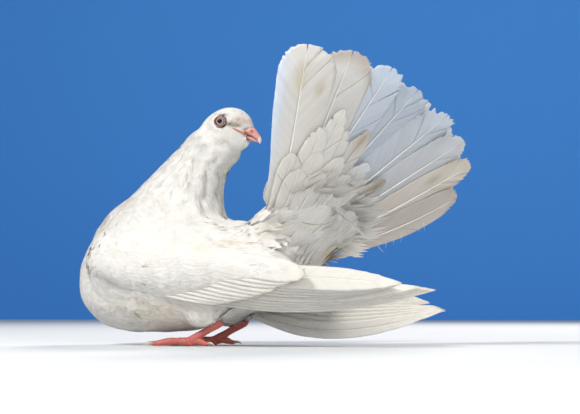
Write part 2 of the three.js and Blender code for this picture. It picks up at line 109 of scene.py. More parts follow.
def mix(a, b, t):
    return a + (b - a) * t


def unit(v):
    return v / np.maximum(np.linalg.norm(v, axis=-1, keepdims=True), 1e-9)


def linear(code):
    """Linear colour from sRGB hex."""
    parts = np.array([int(code[i:i + 2], 16) / 255 for i in (0, 2, 4)])
    return np.where(parts <= 0.04045, parts / 12.92, ((parts + 0.055) / 1.055) ** 2.4)


def eye_middle():
    """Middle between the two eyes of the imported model, in metres."""
    corners = [corner for side in ("left", "right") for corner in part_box("eye_" + side)]
    return np.array(sum(corners, Vector((0, 0, 0))) / 4)


OFFSET = eye_middle() * 1000 - EYE * [1, 0, 1]


def in_frame(places):
    """The bird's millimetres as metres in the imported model's frame."""
    return (np.asarray(places, float) + OFFSET) / 1000


head_axis = np.array([math.cos(HEAD_PITCH), 0, -math.sin(HEAD_PITCH)])
head_up = np.array([math.sin(HEAD_PITCH), 0, math.cos(HEAD_PITCH)])
tail_axis = np.array([math.cos(TAIL_LIFT), 0, math.sin(TAIL_LIFT)])
flat_under = np.array([math.sin(TAIL_LIFT), 0, -math.cos(TAIL_LIFT)])
to_left = np.array([0.0, -1.0, 0.0])
tail_under = flat_under * math.cos(TAIL_ROLL) + to_left * math.sin(TAIL_ROLL)
tail_left = to_left * math.cos(TAIL_ROLL) - flat_under * math.sin(TAIL_ROLL)


def in_head(forwards, up, y=0.0):
    """Place in the head: forwards along the bill's axis and up from it."""
    return SKULL + head_axis * forwards + head_up * up + np.array([0, y, 0])


def from_skull(places):
    """How far places lie forwards of the skull's middle along the bill's axis, and how far up from it."""
    return (places - SKULL) @ head_axis, (places - SKULL) @ head_up


def on_fan(p, q, low):
    """Place on the fan: p along the tail, q to the bird's left, low towards the underside."""
    p, q, low = np.broadcast_arrays(np.asarray(p, float), q, low)
    dish = TAIL_DISH * (q / TAIL_DISH_AT) ** 2 * ease(p, 10, 110)
    return (TAIL_CENTRE + p[..., None] * tail_axis + q[..., None] * tail_left
            + (low - dish)[..., None] * tail_under)


# Meshes from grids

class Pile:
    """Gathers many small closed shells, which then make one mesh."""

    def __init__(self):
        self.points, self.faces, self.slots, self.smooth = [], [], [], []
        self.tints, self.webs, self.bakes, self.normals = [], [], [], []
        self.count = 0

    def add(self, points, faces, tint, web=None, bake=None, slot=0, rim=0, copies=1, normals=None):
        """Adds one shell, or as many like ones as copies says. The last faces of each, as many as rim
        says, are flat, so that a thin sheet's edge stays crisp. normals are for shells that are shaded by
        something other than their own shape."""
        points = np.reshape(points, (-1, 3))
        size = len(points)
        self.smooth.append(np.tile(np.arange(len(faces)) < len(faces) - rim, copies))
        faces = (faces + np.arange(copies)[:, None, None] * (size // copies)).reshape(-1, 4)
        self.points.append(points)
        self.faces.append(faces + self.count)
        self.slots.append(np.full(len(faces), slot))
        self.tints.append(np.broadcast_to(np.reshape(tint, (-1, 3)), (size, 3)))
        self.webs.append(np.zeros((size, 2)) if web is None else np.reshape(web, (-1, 2)))
        self.bakes.append(np.zeros((size, 2)) if bake is None else np.reshape(bake, (-1, 2)))
        if normals is not None:
            self.normals.append(np.reshape(normals, (-1, 3)))
        self.count += size

    def build(self, name, materials):
        corners = np.concatenate(self.faces).astype(np.int32)
        mesh = bpy.data.meshes.new(name)
        mesh.vertices.add(self.count)
        mesh.vertices.foreach_set("co", in_frame(np.concatenate(self.points)).astype(np.float32).ravel())
        mesh.loops.add(corners.size)
        mesh.loops.foreach_set("vertex_index", corners.ravel())
        mesh.polygons.add(len(corners))
        mesh.polygons.foreach_set("loop_start", np.arange(0, corners.size, 4, dtype=np.int32))
        mesh.polygons.foreach_set("material_index", np.concatenate(self.slots).astype(np.int32))
        mesh.polygons.foreach_set("use_smooth", np.concatenate(self.smooth))
        tints = mesh.color_attributes.new("tint", "FLOAT_COLOR", "POINT")
        colours = np.c_[np.concatenate(self.tints), np.ones(self.count)]
        tints.data.foreach_set("color", colours.astype(np.float32).ravel())
        for map_name, places in (("OFBake", self.bakes), ("barbs", self.webs)):
            layer = mesh.uv_layers.new(name=map_name)
            flat = np.concatenate(places)[corners.ravel()]
            layer.uv.foreach_set("vector", flat.astype(np.float32).ravel())
        for material in materials:
            mesh.materials.append(material)
        mesh.update(calc_edges=True)
        mesh.validate()
        if self.normals:
            mesh.normals_split_custom_set_from_vertices(np.concatenate(self.normals).tolist())
        piece = bpy.data.objects.new(name, mesh)
        bpy.context.scene.collection.objects.link(piece)
        return piece


@functools.lru_cache(None)
def sheet_faces(rows, columns):
    """Faces of a thin closed sheet whose points are a grid of tops and then a grid of undersides."""
    top = np.arange(rows * columns).reshape(rows, columns)
    low = top + rows * columns
    a, b, c, d = top[:-1, :-1], top[1:, :-1], top[1:, 1:], top[:-1, 1:]
    lists = [np.stack([a, d, c, b], -1).reshape(-1, 4)]
    lists.append(np.stack([a, b, c, d], -1).reshape(-1, 4) + rows * columns)
    rim = np.concatenate([top[0, :-1], top[:-1, -1], top[-1, :0:-1], top[:0:-1, 0]])
    under = np.concatenate([low[0, :-1], low[:-1, -1], low[-1, :0:-1], low[:0:-1, 0]])
    lists.append(np.stack([rim, under, np.roll(under, -1), np.roll(rim, -1)], -1))
    return np.concatenate(lists)


@functools.lru_cache(None)
def loft_faces(rows, sides):
    """Faces of rings of points, closed at both ends. The number of sides is even."""
    index = np.arange(rows * sides).reshape(rows, sides)
    side = np.roll(index, -1, 1)
    lists = [np.stack([index[:-1], side[:-1], side[1:], index[1:]], -1).reshape(-1, 4)]
    i = np.arange(sides // 2 - 1)
    cap = np.stack([i, sides - 1 - i, sides - 2 - i, i + 1], -1)
    lists += [cap, cap[:, ::-1] + (rows - 1) * sides]
    return np.concatenate(lists)


def through(values, place):
    """Smooth curve through the keys' rows of numbers."""
    values = np.asarray(values, float)
    place = np.asarray(place, float)
    i = np.clip(place.astype(int), 0, len(values) - 2)
    p, q, r, s = (values[np.clip(i + k, 0, len(values) - 1)] for k in (-1, 0, 1, 2))
    t = (place - i)[:, None]
    return q + 0.5 * t * (r - p + t * (2 * p - 5 * q + 4 * r - s + t * (3 * (q - r) + s - p)))


def oval_rings(stations, rows, sides):
    """Rings of a body from stations [x, y, z, lean, half across, half sideways]."""
    s = through(stations, np.linspace(0, len(stations) - 1, rows))
    lean = np.radians(s[:, 3])
    across = np.stack([-np.sin(lean), 0 * lean, np.cos(lean)], -1)
    turn = np.linspace(0, 2 * math.pi, sides, endpoint=False)
    rings = s[:, None, :3] + across[:, None] * (np.cos(turn)[:, None] * s[:, None, 4:5])
    rings[..., 1] += np.sin(turn) * s[:, 5:6]
    return rings


def tube_rings(points, radii, sides=6, side_way=(0, 1, 0), flat=1.0):
    """Rings round a line of points."""
    points = np.asarray(points, float)
    along = unit(np.gradient(points, axis=0))
    side = unit(np.asarray(side_way, float) - along * (along @ np.asarray(side_way, float))[:, None])
    up = np.cross(along, side)
    turn = (np.arange(sides) + 0.5) / sides * 2 * math.pi
    radii = np.broadcast_to(np.asarray(radii, float), len(points))[:, None, None]
    around = np.cos(turn)[:, None] * side[:, None] + flat * np.sin(turn)[:, None] * up[:, None]
    return points[:, None] + radii * around


# Materials

def node(tree, kind, values=None, links=None, **settings):
    """Adds a node: settings are its own, values its sockets' numbers, links the outputs that feed it."""
    made = tree.nodes.new(kind)
    for name, value in settings.items():
        setattr(made, name, value)
    for socket, value in (values or {}).items():
        made.inputs[socket].default_value = value
    for socket, source in (links or {}).items():
        tree.links.new(source, made.inputs[socket])
    return made


def start_material(name):
    material = bpy.data.materials.new(name)
    material.use_nodes = True
    material.node_tree.nodes.clear()
    return material, material.node_tree


def finish_material(tree, shader):
    node(tree, "ShaderNodeOutputMaterial", links={"Surface": shader.outputs[0]})


def feather_vane(name, through_share, roughness, streak, relief):
    """White feather keratin: matt and fibrous, with barbs that slant off the shaft. It scatters light
    softly, and a single vane lets some through, so an edge against the light looks pale and bluish."""
    material, tree = start_material(name)
    tint = node(tree, "ShaderNodeAttribute", attribute_name="tint")
    where = node(tree, "ShaderNodeUVMap", uv_map="barbs")
    # On this map u runs outwards along a barb and v is where the barb leaves the shaft, both in mm.
    # Real barbs are about 0.4 mm apart. Here the finest streaks are about 1 mm, so that they show.
    fine = node(tree, "ShaderNodeMapping", {"Scale": (0.05, 0.95, 1)}, {0: where.outputs[0]})
    coarse = node(tree, "ShaderNodeMapping", {"Scale": (0.025, 0.22, 1)}, {0: where.outputs[0]})
    lines = node(tree, "ShaderNodeTexNoise", {"Scale": 1, "Detail": 3, "Roughness": 0.6},
                 {"Vector": fine.outputs[0]}, noise_dimensions="2D")
    bands = node(tree, "ShaderNodeTexNoise", {"Scale": 1, "Detail": 2, "Roughness": 0.5},
                 {"Vector": coarse.outputs[0]}, noise_dimensions="2D")
    both = node(tree, "ShaderNodeMath", {1: 0.5}, {0: lines.outputs[0], 2: bands.outputs[0]},
                operation="MULTIPLY_ADD")
    shade = node(tree, "ShaderNodeMapRange", {1: 0.45, 2: 1.05, 3: 1 - streak, 4: 1.0},
                 {0: both.outputs[0]})
    colour = node(tree, "ShaderNodeVectorMath", links={0: tint.outputs[0], 1: shade.outputs[0]},
                  operation="MULTIPLY")
    bump = node(tree, "ShaderNodeBump", {"Strength": relief, "Distance": 0.0004},
                {"Height": both.outputs[0]})
    vane = node(tree, "ShaderNodeBsdfPrincipled",
                {"Roughness": roughness, "IOR": 1.54, "Specular IOR Level": 0.25, "Sheen Weight": 0.12,
                 "Sheen Roughness": 0.5},
                {"Base Color": colour.outputs[0], "Normal": bump.outputs[0]})
    glow = node(tree, "ShaderNodeBsdfTranslucent", links={0: colour.outputs[0], 1: bump.outputs[0]})
    both_ways = node(tree, "ShaderNodeMixShader", {0: through_share},
                     {1: vane.outputs[0], 2: glow.outputs[0]})
    finish_material(tree, both_ways)
    return material


def tinted_surface(name, roughness, grain, relief, per_metre, **sockets):
    """A living surface that takes its colour from the piece's tint. grain says how much its irregular
    pattern darkens it, and per_metre how many times the pattern repeats in a metre."""
    material, tree = start_material(name)
    tint = node(tree, "ShaderNodeAttribute", attribute_name="tint")
    place = node(tree, "ShaderNodeTexCoord")
    noise = node(tree, "ShaderNodeTexNoise", {"Scale": per_metre, "Detail": 4, "Roughness": 0.6},
                 {"Vector": place.outputs["Object"]})
    shade = node(tree, "ShaderNodeMapRange", {1: 0.3, 2: 0.7, 3: 1 - grain, 4: 1.0}, {0: noise.outputs[0]})
    colour = node(tree, "ShaderNodeVectorMath", links={0: tint.outputs[0], 1: shade.outputs[0]},
                  operation="MULTIPLY")
    bump = node(tree, "ShaderNodeBump", {"Strength": relief, "Distance": 0.0003},
                {"Height": noise.outputs[0]})
    values = {"Roughness": roughness, **{key.replace("_", " "): value for key, value in sockets.items()}}
    shader = node(tree, "ShaderNodeBsdfPrincipled", values,
                  {"Base Color": colour.outputs[0], "Normal": bump.outputs[0]})
    finish_material(tree, shader)
    return material


flight_vane = feather_vane("flight_feather_keratin", through_share=0.48, roughness=0.6, streak=0.08,
                           relief=0.3)
contour_vane = feather_vane("contour_feather_keratin", through_share=0.3, roughness=0.8, streak=0.05,
                            relief=0.3)
# Feather shafts are solid pale keratin, smoother than the vane, so they catch a thin line of light
shaft_keratin = tinted_surface("shaft_keratin", roughness=0.38, grain=0.08, relief=0.1, per_metre=300,
                               IOR=1.54)
# Down under the coat: dull, soft and a little darker than the feathers, in tufts 2 mm across
under_down = tinted_surface("under_down", roughness=0.95, grain=0.15, relief=0.6, per_metre=500,
                            Sheen_Weight=0.2)
# The bill is a thin horn sheath over pink flesh: waxy, with a soft sheen and mottled every millimetre
bill_horn = tinted_surface("bill_horn", roughness=0.42, grain=0.14, relief=0.25, per_metre=900,
                           IOR=1.54, Subsurface_Weight=0.15, Subsurface_Scale=0.001)
# The eye is wet, so the clear coat gives it a hard highlight over the matt iris, flecked every 0.4 mm
wet_eye = tinted_surface("wet_eye", roughness=0.35, grain=0.25, relief=0.05, per_metre=2500,
                         Coat_Weight=1.0, Coat_Roughness=0.02, Coat_IOR=1.376, Specular_IOR_Level=0.05)
# Bare lids and the corners of the mouth: thin slightly moist skin, with wrinkles 0.7 mm apart
bare_skin = tinted_surface("bare_lid_skin", roughness=0.45, grain=0.3, relief=0.6, per_metre=1500,
                           Subsurface_Weight=0.1, Subsurface_Scale=0.0008)
# Leg scales are dry horny plates over red skin, cracked into pieces of a millimetre or two
leg_scales = tinted_surface("leg_scales", roughness=0.5, grain=0.22, relief=0.5, per_metre=700,
                            Subsurface_Weight=0.1, Subsurface_Scale=0.001)
# Claws are hard polished keratin
claw_keratin = tinted_surface("claw_keratin", roughness=0.3, grain=0.2, relief=0.2, per_metre=600,
                              IOR=1.54)


# Markings and painted shade, the same on the skin and on the coat

CLEAN_WHITE = linear("f3f1ec")
# Stains, and a few marks of painted shade: place, reach along X, Y and Z, colour, strength
STAINS_AND_PAINTED_SHADE = [
    ((6.5, -9, 146.6), (4.6, 5, 1.5), "635842", 0.95),
    ((10.5, -8, 144.9), (3.0, 5, 1.3), "8a6a4e", 0.8),
    # Next: over the eye, partly a brown stain and partly painted shade under the brow
    ((2.6, -10, 152.0), (2.6, 4, 1.3), "8b7458", 0.7),
    ((12.5, -6.5, 148.9), (4.0, 5, 2.2), "c4a487", 0.6),
    ((17.0, -5, 147.6), (2.6, 5, 2.0), "c9a188", 0.6),
    ((6.5, 9, 146.6), (4.6, 5, 1.5), "635842", 0.9),
    ((10.5, 8, 144.9), (3.0, 5, 1.3), "8a6a4e", 0.75),
    ((13.5, 6, 148.2), (4.5, 5, 2.4), "c4a487", 0.5),
    # The next four: grey on the nape and neck, partly the feathers' grey bases and partly painted shade
    ((-17.5, -13, 137.2), (4.4, 7, 2.0), "b7bab8", 0.75),
    ((-12, -14, 131.2), (4.6, 7, 2.4), "bcbdb9", 0.7),
    ((1.5, -10, 134.5), (6, 7, 3.0), "c9c3b9", 0.6),
    ((-17, 14, 135.2), (5, 7, 2.4), "bfc0bd", 0.6),
    ((-63, -25, 93), (9, 9, 3), "dcc3a8", 0.5),
    ((-79, -26, 82), (4, 9, 8), "c2b096", 0.6),
    ((-33, -24, 89), (6, 7, 4), "e0ccb4", 0.35),
    ((1.6, -20, 86.8), (2.4, 6, 3.4), "b8906a", 0.6),
    ((-13, -36, 67), (6, 8, 2.2), "e2cda8", 0.4),
    ((2, -38, 62.2), (6, 8, 2.0), "dcc093", 0.45),
    ((19, -38, 64.2), (8, 8, 2.0), "e2c89c", 0.4),
    ((25, -40, 36), (26, 16, 4), "ddcfb4", 0.45),
    ((-35, -36, 24), (30, 16, 8), "dfd3ba", 0.5),
    # Next: grey in the hollow under the breast, painted shade
    ((-66, -36, 41), (7, 14, 3.4), "b9b6ae", 0.5),
    ((66, 20, 60), (6, 8, 5), "cfb768", 0.7),
    ((44, -30, 74), (8, 9, 6), "d3c1a0", 0.4),
]


def marks_and_shade(places, vary=1.0):
    """Colour of the plumage at places, from clean white to stained, with a few marks of painted shade.
    vary makes a stain uneven.
    """
    places = np.reshape(places, (-1, 3))
    colour = np.tile(CLEAN_WHITE, (len(places), 1))
    for place, reach, code, strength in STAINS_AND_PAINTED_SHADE:
        far = (((places - place) / reach) ** 2).sum(1)
        weight = np.clip(strength * np.exp(-far) * vary, 0, 0.95)
        colour = mix(colour, linear(code), np.reshape(weight, (-1, 1)))
    return colour


# Soft forms under the feathers

# The folded left wing: [x, y, z, lean, half high, half wide]
WING_MASS = [
    [-86, -31, 57, 0, 3, 3],
    [-84.5, -30, 57, 0, 11, 9],
    [-79, -28, 57, 0, 18.5, 15.5],
    [-68, -25, 56, 0, 24.5, 22.5],
    [-50, -22, 55, 0, 27.5, 27.5],
    [-28, -20, 54, 0, 28.5, 30],
    [-5, -20, 53.5, 0, 28, 29],
    [16, -22, 52.5, 0, 24.5, 24.5],
    [34, -26, 50.5, 0, 18.5, 19.5],
    [47, -30, 48.5, 0, 13, 15],
    [58, -33, 47.2, 0, 7, 10.5],
    [64, -35, 46.5, 0, 2, 4],
]

# Root of the tail: [along, half sideways, half deep, to the underside]
TAIL_ROOT = [
    [-32, 8, 8, 0],
    [-28, 20, 15, 0],
    [-18, 28, 19, 0],
    [-5, 33, 18.5, 1],
    [8, 37, 15, 2],
    [22, 37, 10.5, 2.5],
    [34, 34, 7, 3.5],
    [43, 26, 5, 4],
    [48, 12, 3, 4.5],
]

# The lores, which fill the hollow over the bill's base: [forwards, up, half high, half wide]
LORES = [
    [6, 1.5, 1, 2],
    [9, 1.5, 3.0, 5],
    [16, 1.9, 2.3, 4.8],
    [19.4, 2.1, 1.7, 4.0],
    [21.2, 2.2, 1.1, 2.9],
    [21.8, 2.2, 0.5, 1.5],
]


def on_right(places):
    """The same places on the right wing, which hangs a little lower."""
    x, y, z = np.moveaxis(np.asarray(places) - SHOULDER, -1, 0)
    cos, sin = math.cos(FAR_WING_DROOP), math.sin(FAR_WING_DROOP)
    return np.stack([x * cos + z * sin, -y, z * cos - x * sin], -1) + SHOULDER


def wing_mass():
    return oval_rings(WING_MASS, 40, 32)


def tail_root():
    p, a, b, low = through(TAIL_ROOT, np.linspace(0, len(TAIL_ROOT) - 1, 30)).T[..., None]
    turn = np.linspace(0, 2 * math.pi, 36, endpoint=False)
    return on_fan(p + 0 * turn, a * np.sin(turn), low + b * np.cos(turn))


def lores():
    stations = [[*in_head(f, up), -math.degrees(HEAD_PITCH), high, wide] for f, up, high, wide in LORES]
    return oval_rings(stations, 24, 24)


def grid_mesh(name, rings):
    mesh = bpy.data.meshes.new(name)
    rows, sides = rings.shape[:2]
    mesh.from_pydata(in_frame(rings.reshape(-1, 3)).tolist(), [], loft_faces(rows, sides).tolist())
    return mesh


def in_birds_frame(mesh):
    co = np.empty(len(mesh.vertices) * 3, np.float32)
    mesh.vertices.foreach_get("co", co)
    return co.reshape(-1, 3).astype(float) * 1000 - OFFSET


def tree_of(mesh):
    points = in_birds_frame(mesh)
    return BVHTree.FromPolygons(points.tolist(), [list(p.vertices) for p in mesh.polygons])


REGIONS = ["head", "neck", "torso", "wing", "tail", "thigh"]
WING, TAIL = REGIONS.index("wing"), REGIONS.index("tail")
REGION_BLEND = 8.0  # how far one region's feathers reach into the next
left_mass, right_mass = wing_mass(), on_right(wing_mass())
forms = {
    "head": [frame["nodes"]["head"].data, grid_mesh("lores_form", lores())],
    "neck": [frame["nodes"]["neck"].data],
    "torso": [frame["nodes"]["torso"].data],
    "wing": [grid_mesh("wing_form", left_mass), grid_mesh("far_wing_form", right_mass)],
    "tail": [grid_mesh("tail_form", tail_root())],
    "thigh": [frame["nodes"]["thigh_" + side].data for side in ("left", "right")],
}
form_trees = {region: [tree_of(mesh) for mesh in forms[region]] for region in REGIONS}


def region_shares(places):
    """How much each region's feathers govern at places."""
    far = np.array([[min(tree.find_nearest(p)[3] for tree in form_trees[region]) for region in REGIONS]
                    for p in places.tolist()])
    share = np.exp(-(far / REGION_BLEND) ** 2) + 1e-9
    return share / share.sum(1, keepdims=True)


def above_nape(places):
    """Height of places over the nape, up the neck."""
    high = (places - NAPE) @ np.array([math.sin(NAPE_LEAN), 0, math.cos(NAPE_LEAN)])
    # The tail rises as high as the head, but it doesn't count
    return high - 3 * np.maximum(places[:, 0] - 30, 0)


def coat_depth(places):
    """How far the skin lies inside the coat, which is thinnest on the head and at the tail's end."""
    depth = mix(1.7, 0.8, np.maximum(ease(above_nape(places), -36, 2), ease(places[:, 0], 45, 60)))
    forwards, _ = from_skull(places)
    return mix(depth, 0.3, ease(forwards, 14, 18) * ease(above_nape(places), 0, 6))


# Folds of the coat on each side, in the bird's upright plane: ends as (x, z), half width and depth.
# The first is between the breast and the wing, and the others are under the wing.
CREASES = [
    ((-87, 64), (-68, 92), 3.4, 1.3),
    ((-74, 45), (-62, 38), 3.8, 1.2),
    ((-62, 38), (-50, 33), 3.4, 1.0),
    ((-66, 30), (-36, 25), 3.2, 0.9),
    ((-45, 37), (-20, 25), 3.2, 0.8),
    ((-80, 33), (-60, 20), 3.2, 0.8),
]
NECK_WAY = unit(COLLAR - NAPE)
SKIN_FACET = 0.0014  # in metres
RELAX_ROUNDS, SOFTEN_ROUNDS, NORMAL_ROUNDS = 8, 30, 3


def relief(places):
    """How far the coat swells or sinks at places: furrows down the neck, folds by the wing."""
    x, y, z = places.T
    down = (places - NAPE) @ NECK_WAY
    across = (places - NAPE) @ np.array([-NECK_WAY[2], 0, NECK_WAY[0]])
    turn = np.arctan2(y, across)
    sway = turn + 0.14 * np.sin(down / 7.0) + 0.06 * np.sin(down / 2.9 + turn * 5)
    sway = sway + 0.05 * np.sin(down / 1.7)
    furrow = 0.6 * np.sin(sway * 13) + 0.5 * np.sin(sway * 23 + 1.3)
    on_neck = ease(down, -2, 10) * (1 - ease(down, 38, 62))
    deep = mix(0.4, 1.3, ease(x + 0.55 * z, 15, 50))
    swell = furrow * deep * on_neck
    side = ease(np.abs(y), 14, 22)
    for low, high, half, depth in CREASES:
        start, run = np.array(low, float), np.subtract(high, low)
        share = np.clip(((x - start[0]) * run[0] + (z - start[1]) * run[1]) / (run @ run), 0, 1)
        off = np.hypot(x - start[0] - share * run[0], z - start[1] - share * run[1])
        swell = swell - side * depth * np.exp(-(off / half) ** 2)
    # Soft waves a centimetre or two long, as the coat lies in loose folds
    wave = np.sin(x / 5.3 + z / 7.1 + 1.7 * np.sin(z / 11)) * np.sin(z / 4.1 - x / 9.3 + y / 13)
    swell = swell + 0.32 * wave * (1 - ease(above_nape(places), -6, 4))
    # The throat's feathers fill the corner under the chin
    forwards, up = from_skull(places)
    throat = np.exp(-((forwards - 12.5) / 3.5) ** 2 - ((up + 15.5) / 3.0) ** 2)
    return swell + 1.5 * throat


def blended(places, mesh):
    """The places with the creases between the body's forms filled softly. The head keeps its shape."""
    one, other = np.array([edge.vertices for edge in mesh.edges]).T
    count = np.maximum(np.bincount(np.append(one, other), minlength=len(places)), 1)
    soften = 0.6 * (1 - ease(above_nape(places), -22, -4)) * ease(places[:, 2], 16, 26)
    # The end of the tail's root is too thin to be softened
    soften *= 1 - ease(places[:, 0], 42, 58)
    for _ in range(SOFTEN_ROUNDS):
        total = np.zeros_like(places)
        np.add.at(total, one, places[other])
        np.add.at(total, other, places[one])
        places = places + soften[:, None] * (total / count[:, None] - places)
    return places


def make_skin():
    """One skin over every fleshy form, pushed in by the depth of the coat."""
    points, faces = [], []
    for region in REGIONS:
        for mesh in forms[region]:
            faces += [[v + len(points) for v in polygon.vertices] for polygon in mesh.polygons]
            points += in_birds_frame(mesh).tolist()
    mesh = bpy.data.meshes.new("skin")
    mesh.from_pydata(in_frame(points).tolist(), [], faces)
    skin = bpy.data.objects.new("skin", mesh)
    bpy.context.scene.collection.objects.link(skin)
    fuse = skin.modifiers.new("fuse", "REMESH")
    fuse.mode = "VOXEL"
    fuse.voxel_size = SKIN_FACET
    relax = skin.modifiers.new("relax", "SMOOTH")
    relax.factor = 0.5
    relax.iterations = RELAX_ROUNDS
    graph = bpy.context.evaluated_depsgraph_get()
    fused = bpy.data.meshes.new_from_object(skin.evaluated_get(graph))
    skin.modifiers.clear()
    skin.data = fused
    places = blended(in_birds_frame(fused), fused)
    fused.vertices.foreach_set("co", in_frame(places).astype(np.float32).ravel())
    fused.update()
    normals = np.array([v.normal for v in fused.vertices])
    places -= normals * (coat_depth(places) - relief(places))[:, None]
    fused.vertices.foreach_set("co", in_frame(places).astype(np.float32).ravel())
    fused.update()
    return skin


def unwrap(piece):
    """A bake map unwrapped from the piece's own shape."""
    piece.data.uv_layers.new(name="OFBake")
    bpy.ops.object.select_all(action="DESELECT")
    bpy.context.view_layer.objects.active = piece
    piece.select_set(True)
    bpy.ops.object.mode_set(mode="EDIT")
    bpy.ops.mesh.select_all(action="SELECT")
    bpy.ops.uv.smart_project(angle_limit=math.radians(66), island_margin=0.002)
    bpy.ops.object.mode_set(mode="OBJECT")


skin = make_skin()
unwrap(skin)


class Ground:
    """The skin as the feathers meet it: nearest places, smooth normals and the bake map."""

    def __init__(self, piece):
        mesh = piece.data
        self.points = in_birds_frame(mesh)
        self.corners = np.array([(list(p.vertices) * 2)[:4] for p in mesh.polygons])
        self.tree = BVHTree.FromPolygons(self.points.tolist(), [list(p.vertices) for p in mesh.polygons])
        normals = np.array([v.normal for v in mesh.vertices])
        edges = np.array([edge.vertices for edge in mesh.edges])
        for _ in range(NORMAL_ROUNDS):
            gathered = normals.copy()
            for one, other in (edges.T, edges.T[::-1]):
                np.add.at(gathered, one, normals[other])
            normals = unit(gathered)
        self.normals = normals
        uv = np.empty(len(mesh.loops) * 2, np.float32)
        mesh.uv_layers["OFBake"].uv.foreach_get("vector", uv)
        uv = uv.reshape(-1, 2)
        self.bake = np.array([uv[p.loop_start:p.loop_start + p.loop_total].mean(0) for p in mesh.polygons])
        self.centres = self.points[self.corners].mean(1)
        self.areas = np.array([p.area for p in mesh.polygons]) * 1e6

    def nearest(self, places):
        """Nearest place, normal and bake place on the skin for each place."""
        shape = np.shape(places)[:-1]
        hits = [self.tree.find_nearest(p) for p in np.reshape(places, (-1, 3)).tolist()]
        index = np.array([hit[2] for hit in hits])
        found = np.array([hit[0] for hit in hits])
        corners = self.corners[index]
        far = ((self.points[corners] - found[:, None]) ** 2).sum(-1, keepdims=True)
        normal = unit((self.normals[corners] / (far + 0.05)).sum(1))
        return found.reshape(*shape, 3), normal.reshape(*shape, 3), self.bake[index].reshape(*shape, 2)


ground = Ground(skin)


def paint_skin(piece):
    """Gives the skin the coat's markings and painted shade, a little darker, and lets it stand for the
    flesh.
    """
    tints = piece.data.color_attributes.new("tint", "FLOAT_COLOR", "POINT")
    colour = marks_and_shade(ground.points) * 0.93
    tints.data.foreach_set("color", np.c_[colour, np.ones(len(colour))].astype(np.float32).ravel())
    for polygon in piece.data.polygons:
        polygon.use_smooth = True
    piece.data.materials.clear()
    piece.data.materials.append(under_down)
    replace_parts(piece, "head", "neck", "torso", "thigh_left", "thigh_right")


paint_skin(skin)


# The lie, size and shape of the small feathers

BILL_BASE = in_head(21, -2)
OVER_HEAD = np.array([2, 0, 172])  # the neck's feathers point away from here


def lie(places, shares):
    """Direction that the feathers point in, before it is laid along the skin."""
    x = places[:, 0]
    front = 1 - ease(x, -98, -50)
    trunk = unit(np.stack([np.ones(len(x)), 0 * x, -mix(0.12, 1.3, front)], -1))
    wing = unit(np.stack([np.ones(len(x)), 0 * x, -mix(0.1, 0.95, 1 - ease(x, -88, -35))], -1))
    neck = unit((places - OVER_HEAD) * [1, 0.6, 1])
    head = unit(places - BILL_BASE)
    q = (places - TAIL_CENTRE) @ tail_left
    tail = unit(tail_axis + tail_left * (q / 90)[:, None])
    thigh = np.tile(unit(np.array([0.6, 0, -0.8])), (len(x), 1))
    # The lie turns slowly from one form to the next, so that no parting opens between them
    shares = shares ** 0.25
    return unit(sum(shares[:, [i]] * way for i, way in enumerate([head, neck, trunk, wing, tail, thigh])))


def lengths(places, shares):
    """Length of the feathers: shortest by the bill, longest on the tail's root."""
    x = places[:, 0]
    head = 2.6 + 0.1 * np.linalg.norm(places - BILL_BASE, axis=1)
    neck = mix(7, 14, ease(above_nape(places), 2, -45))
    trunk = mix(11, 17, ease(x, -95, -20))
    wing = mix(9, 25, ease(x, -85, 20)) * (1 - 0.55 * ease(x, 26, 50))
    tail = mix(15, 34, ease((places - TAIL_CENTRE) @ tail_axis, -20, 20))
    return (shares * np.stack([head, neck, trunk, wing, tail, 10 + 0 * x], -1)).sum(1)


# For each region: width and spacing as shares of the length, how far the tips stand off the coat in
# mm, how much the feathers stray from their lie, and how unlike each other their whites are
WIDTH_SHARE = np.array([0.62, 0.5, 0.64, 0.6, 0.42, 0.5])
SPACING_SHARE = np.array([0.26, 0.14, 0.23, 0.2, 0.15, 0.23])
TIP_LIFT = np.array([0.02, 0.14, 0.06, 0.04, 0.1, 0.3])
STRAY = np.array([0.08, 0.13, 0.09, 0.07, 0.12, 0.2])
UNLIKE = np.array([0.05, 0.2, 0.09, 0.08, 0.08, 0.1])
# Tufts of barbs that make up one feather, and how far apart in degrees its outermost ones point
TUFTS = [5, 6, 7, 8, 8, 6]
FANNING = np.radians([44, 20, 36, 30, 26, 30])
PLACES_TRIED = 72000
CELL = 6.0  # more room than any feather's root needs


def scatter():
    """Seeded places for the feathers' roots, spaced by their length."""
    # The feathers grow shorter and closer up the neck and on the breast, so more places are tried there
    close = np.maximum(ease(above_nape(ground.centres), -62, -20), ease(ground.centres[:, 0], -45, -85))
    chance = ground.areas * mix(1, 5, close)
    chosen = rng.choice(len(chance), PLACES_TRIED, p=chance / chance.sum())
    blend = rng.dirichlet([1, 1, 1, 1], len(chosen))
    places = (ground.points[ground.corners[chosen]] * blend[..., None]).sum(1)
    shares = region_shares(places)
    spacing = lengths(places, shares) * (shares @ SPACING_SHARE)
    kept, cells = [], {}
    for i, place in enumerate(places.tolist()):
        key = tuple(int(c // CELL) for c in place)
        crowded = False
        for dx in (-1, 0, 1):
            for dy in (-1, 0, 1):
                for dz in (-1, 0, 1):
                    for j in cells.get((key[0] + dx, key[1] + dy, key[2] + dz), ()):
                        if math.dist(place, places[j]) < min(spacing[i], spacing[j]):
                            crowded = True
        if not crowded:
            kept.append(i)
            cells.setdefault(key, []).append(i)
    return places[kept], shares[kept]


def from_eye(places):
    """Distance sideways from the middle of an eye's opening, which is wider than high."""
    return np.linalg.norm((places - EYE)[..., [0, 2]] * [1, 1 / LID_OVAL], axis=-1)


MOUTH_UP = -1.5
FOREHEAD_END, CHIN_END = 21.2, 20.2  # how far forwards the feathers grow over and under the mouth


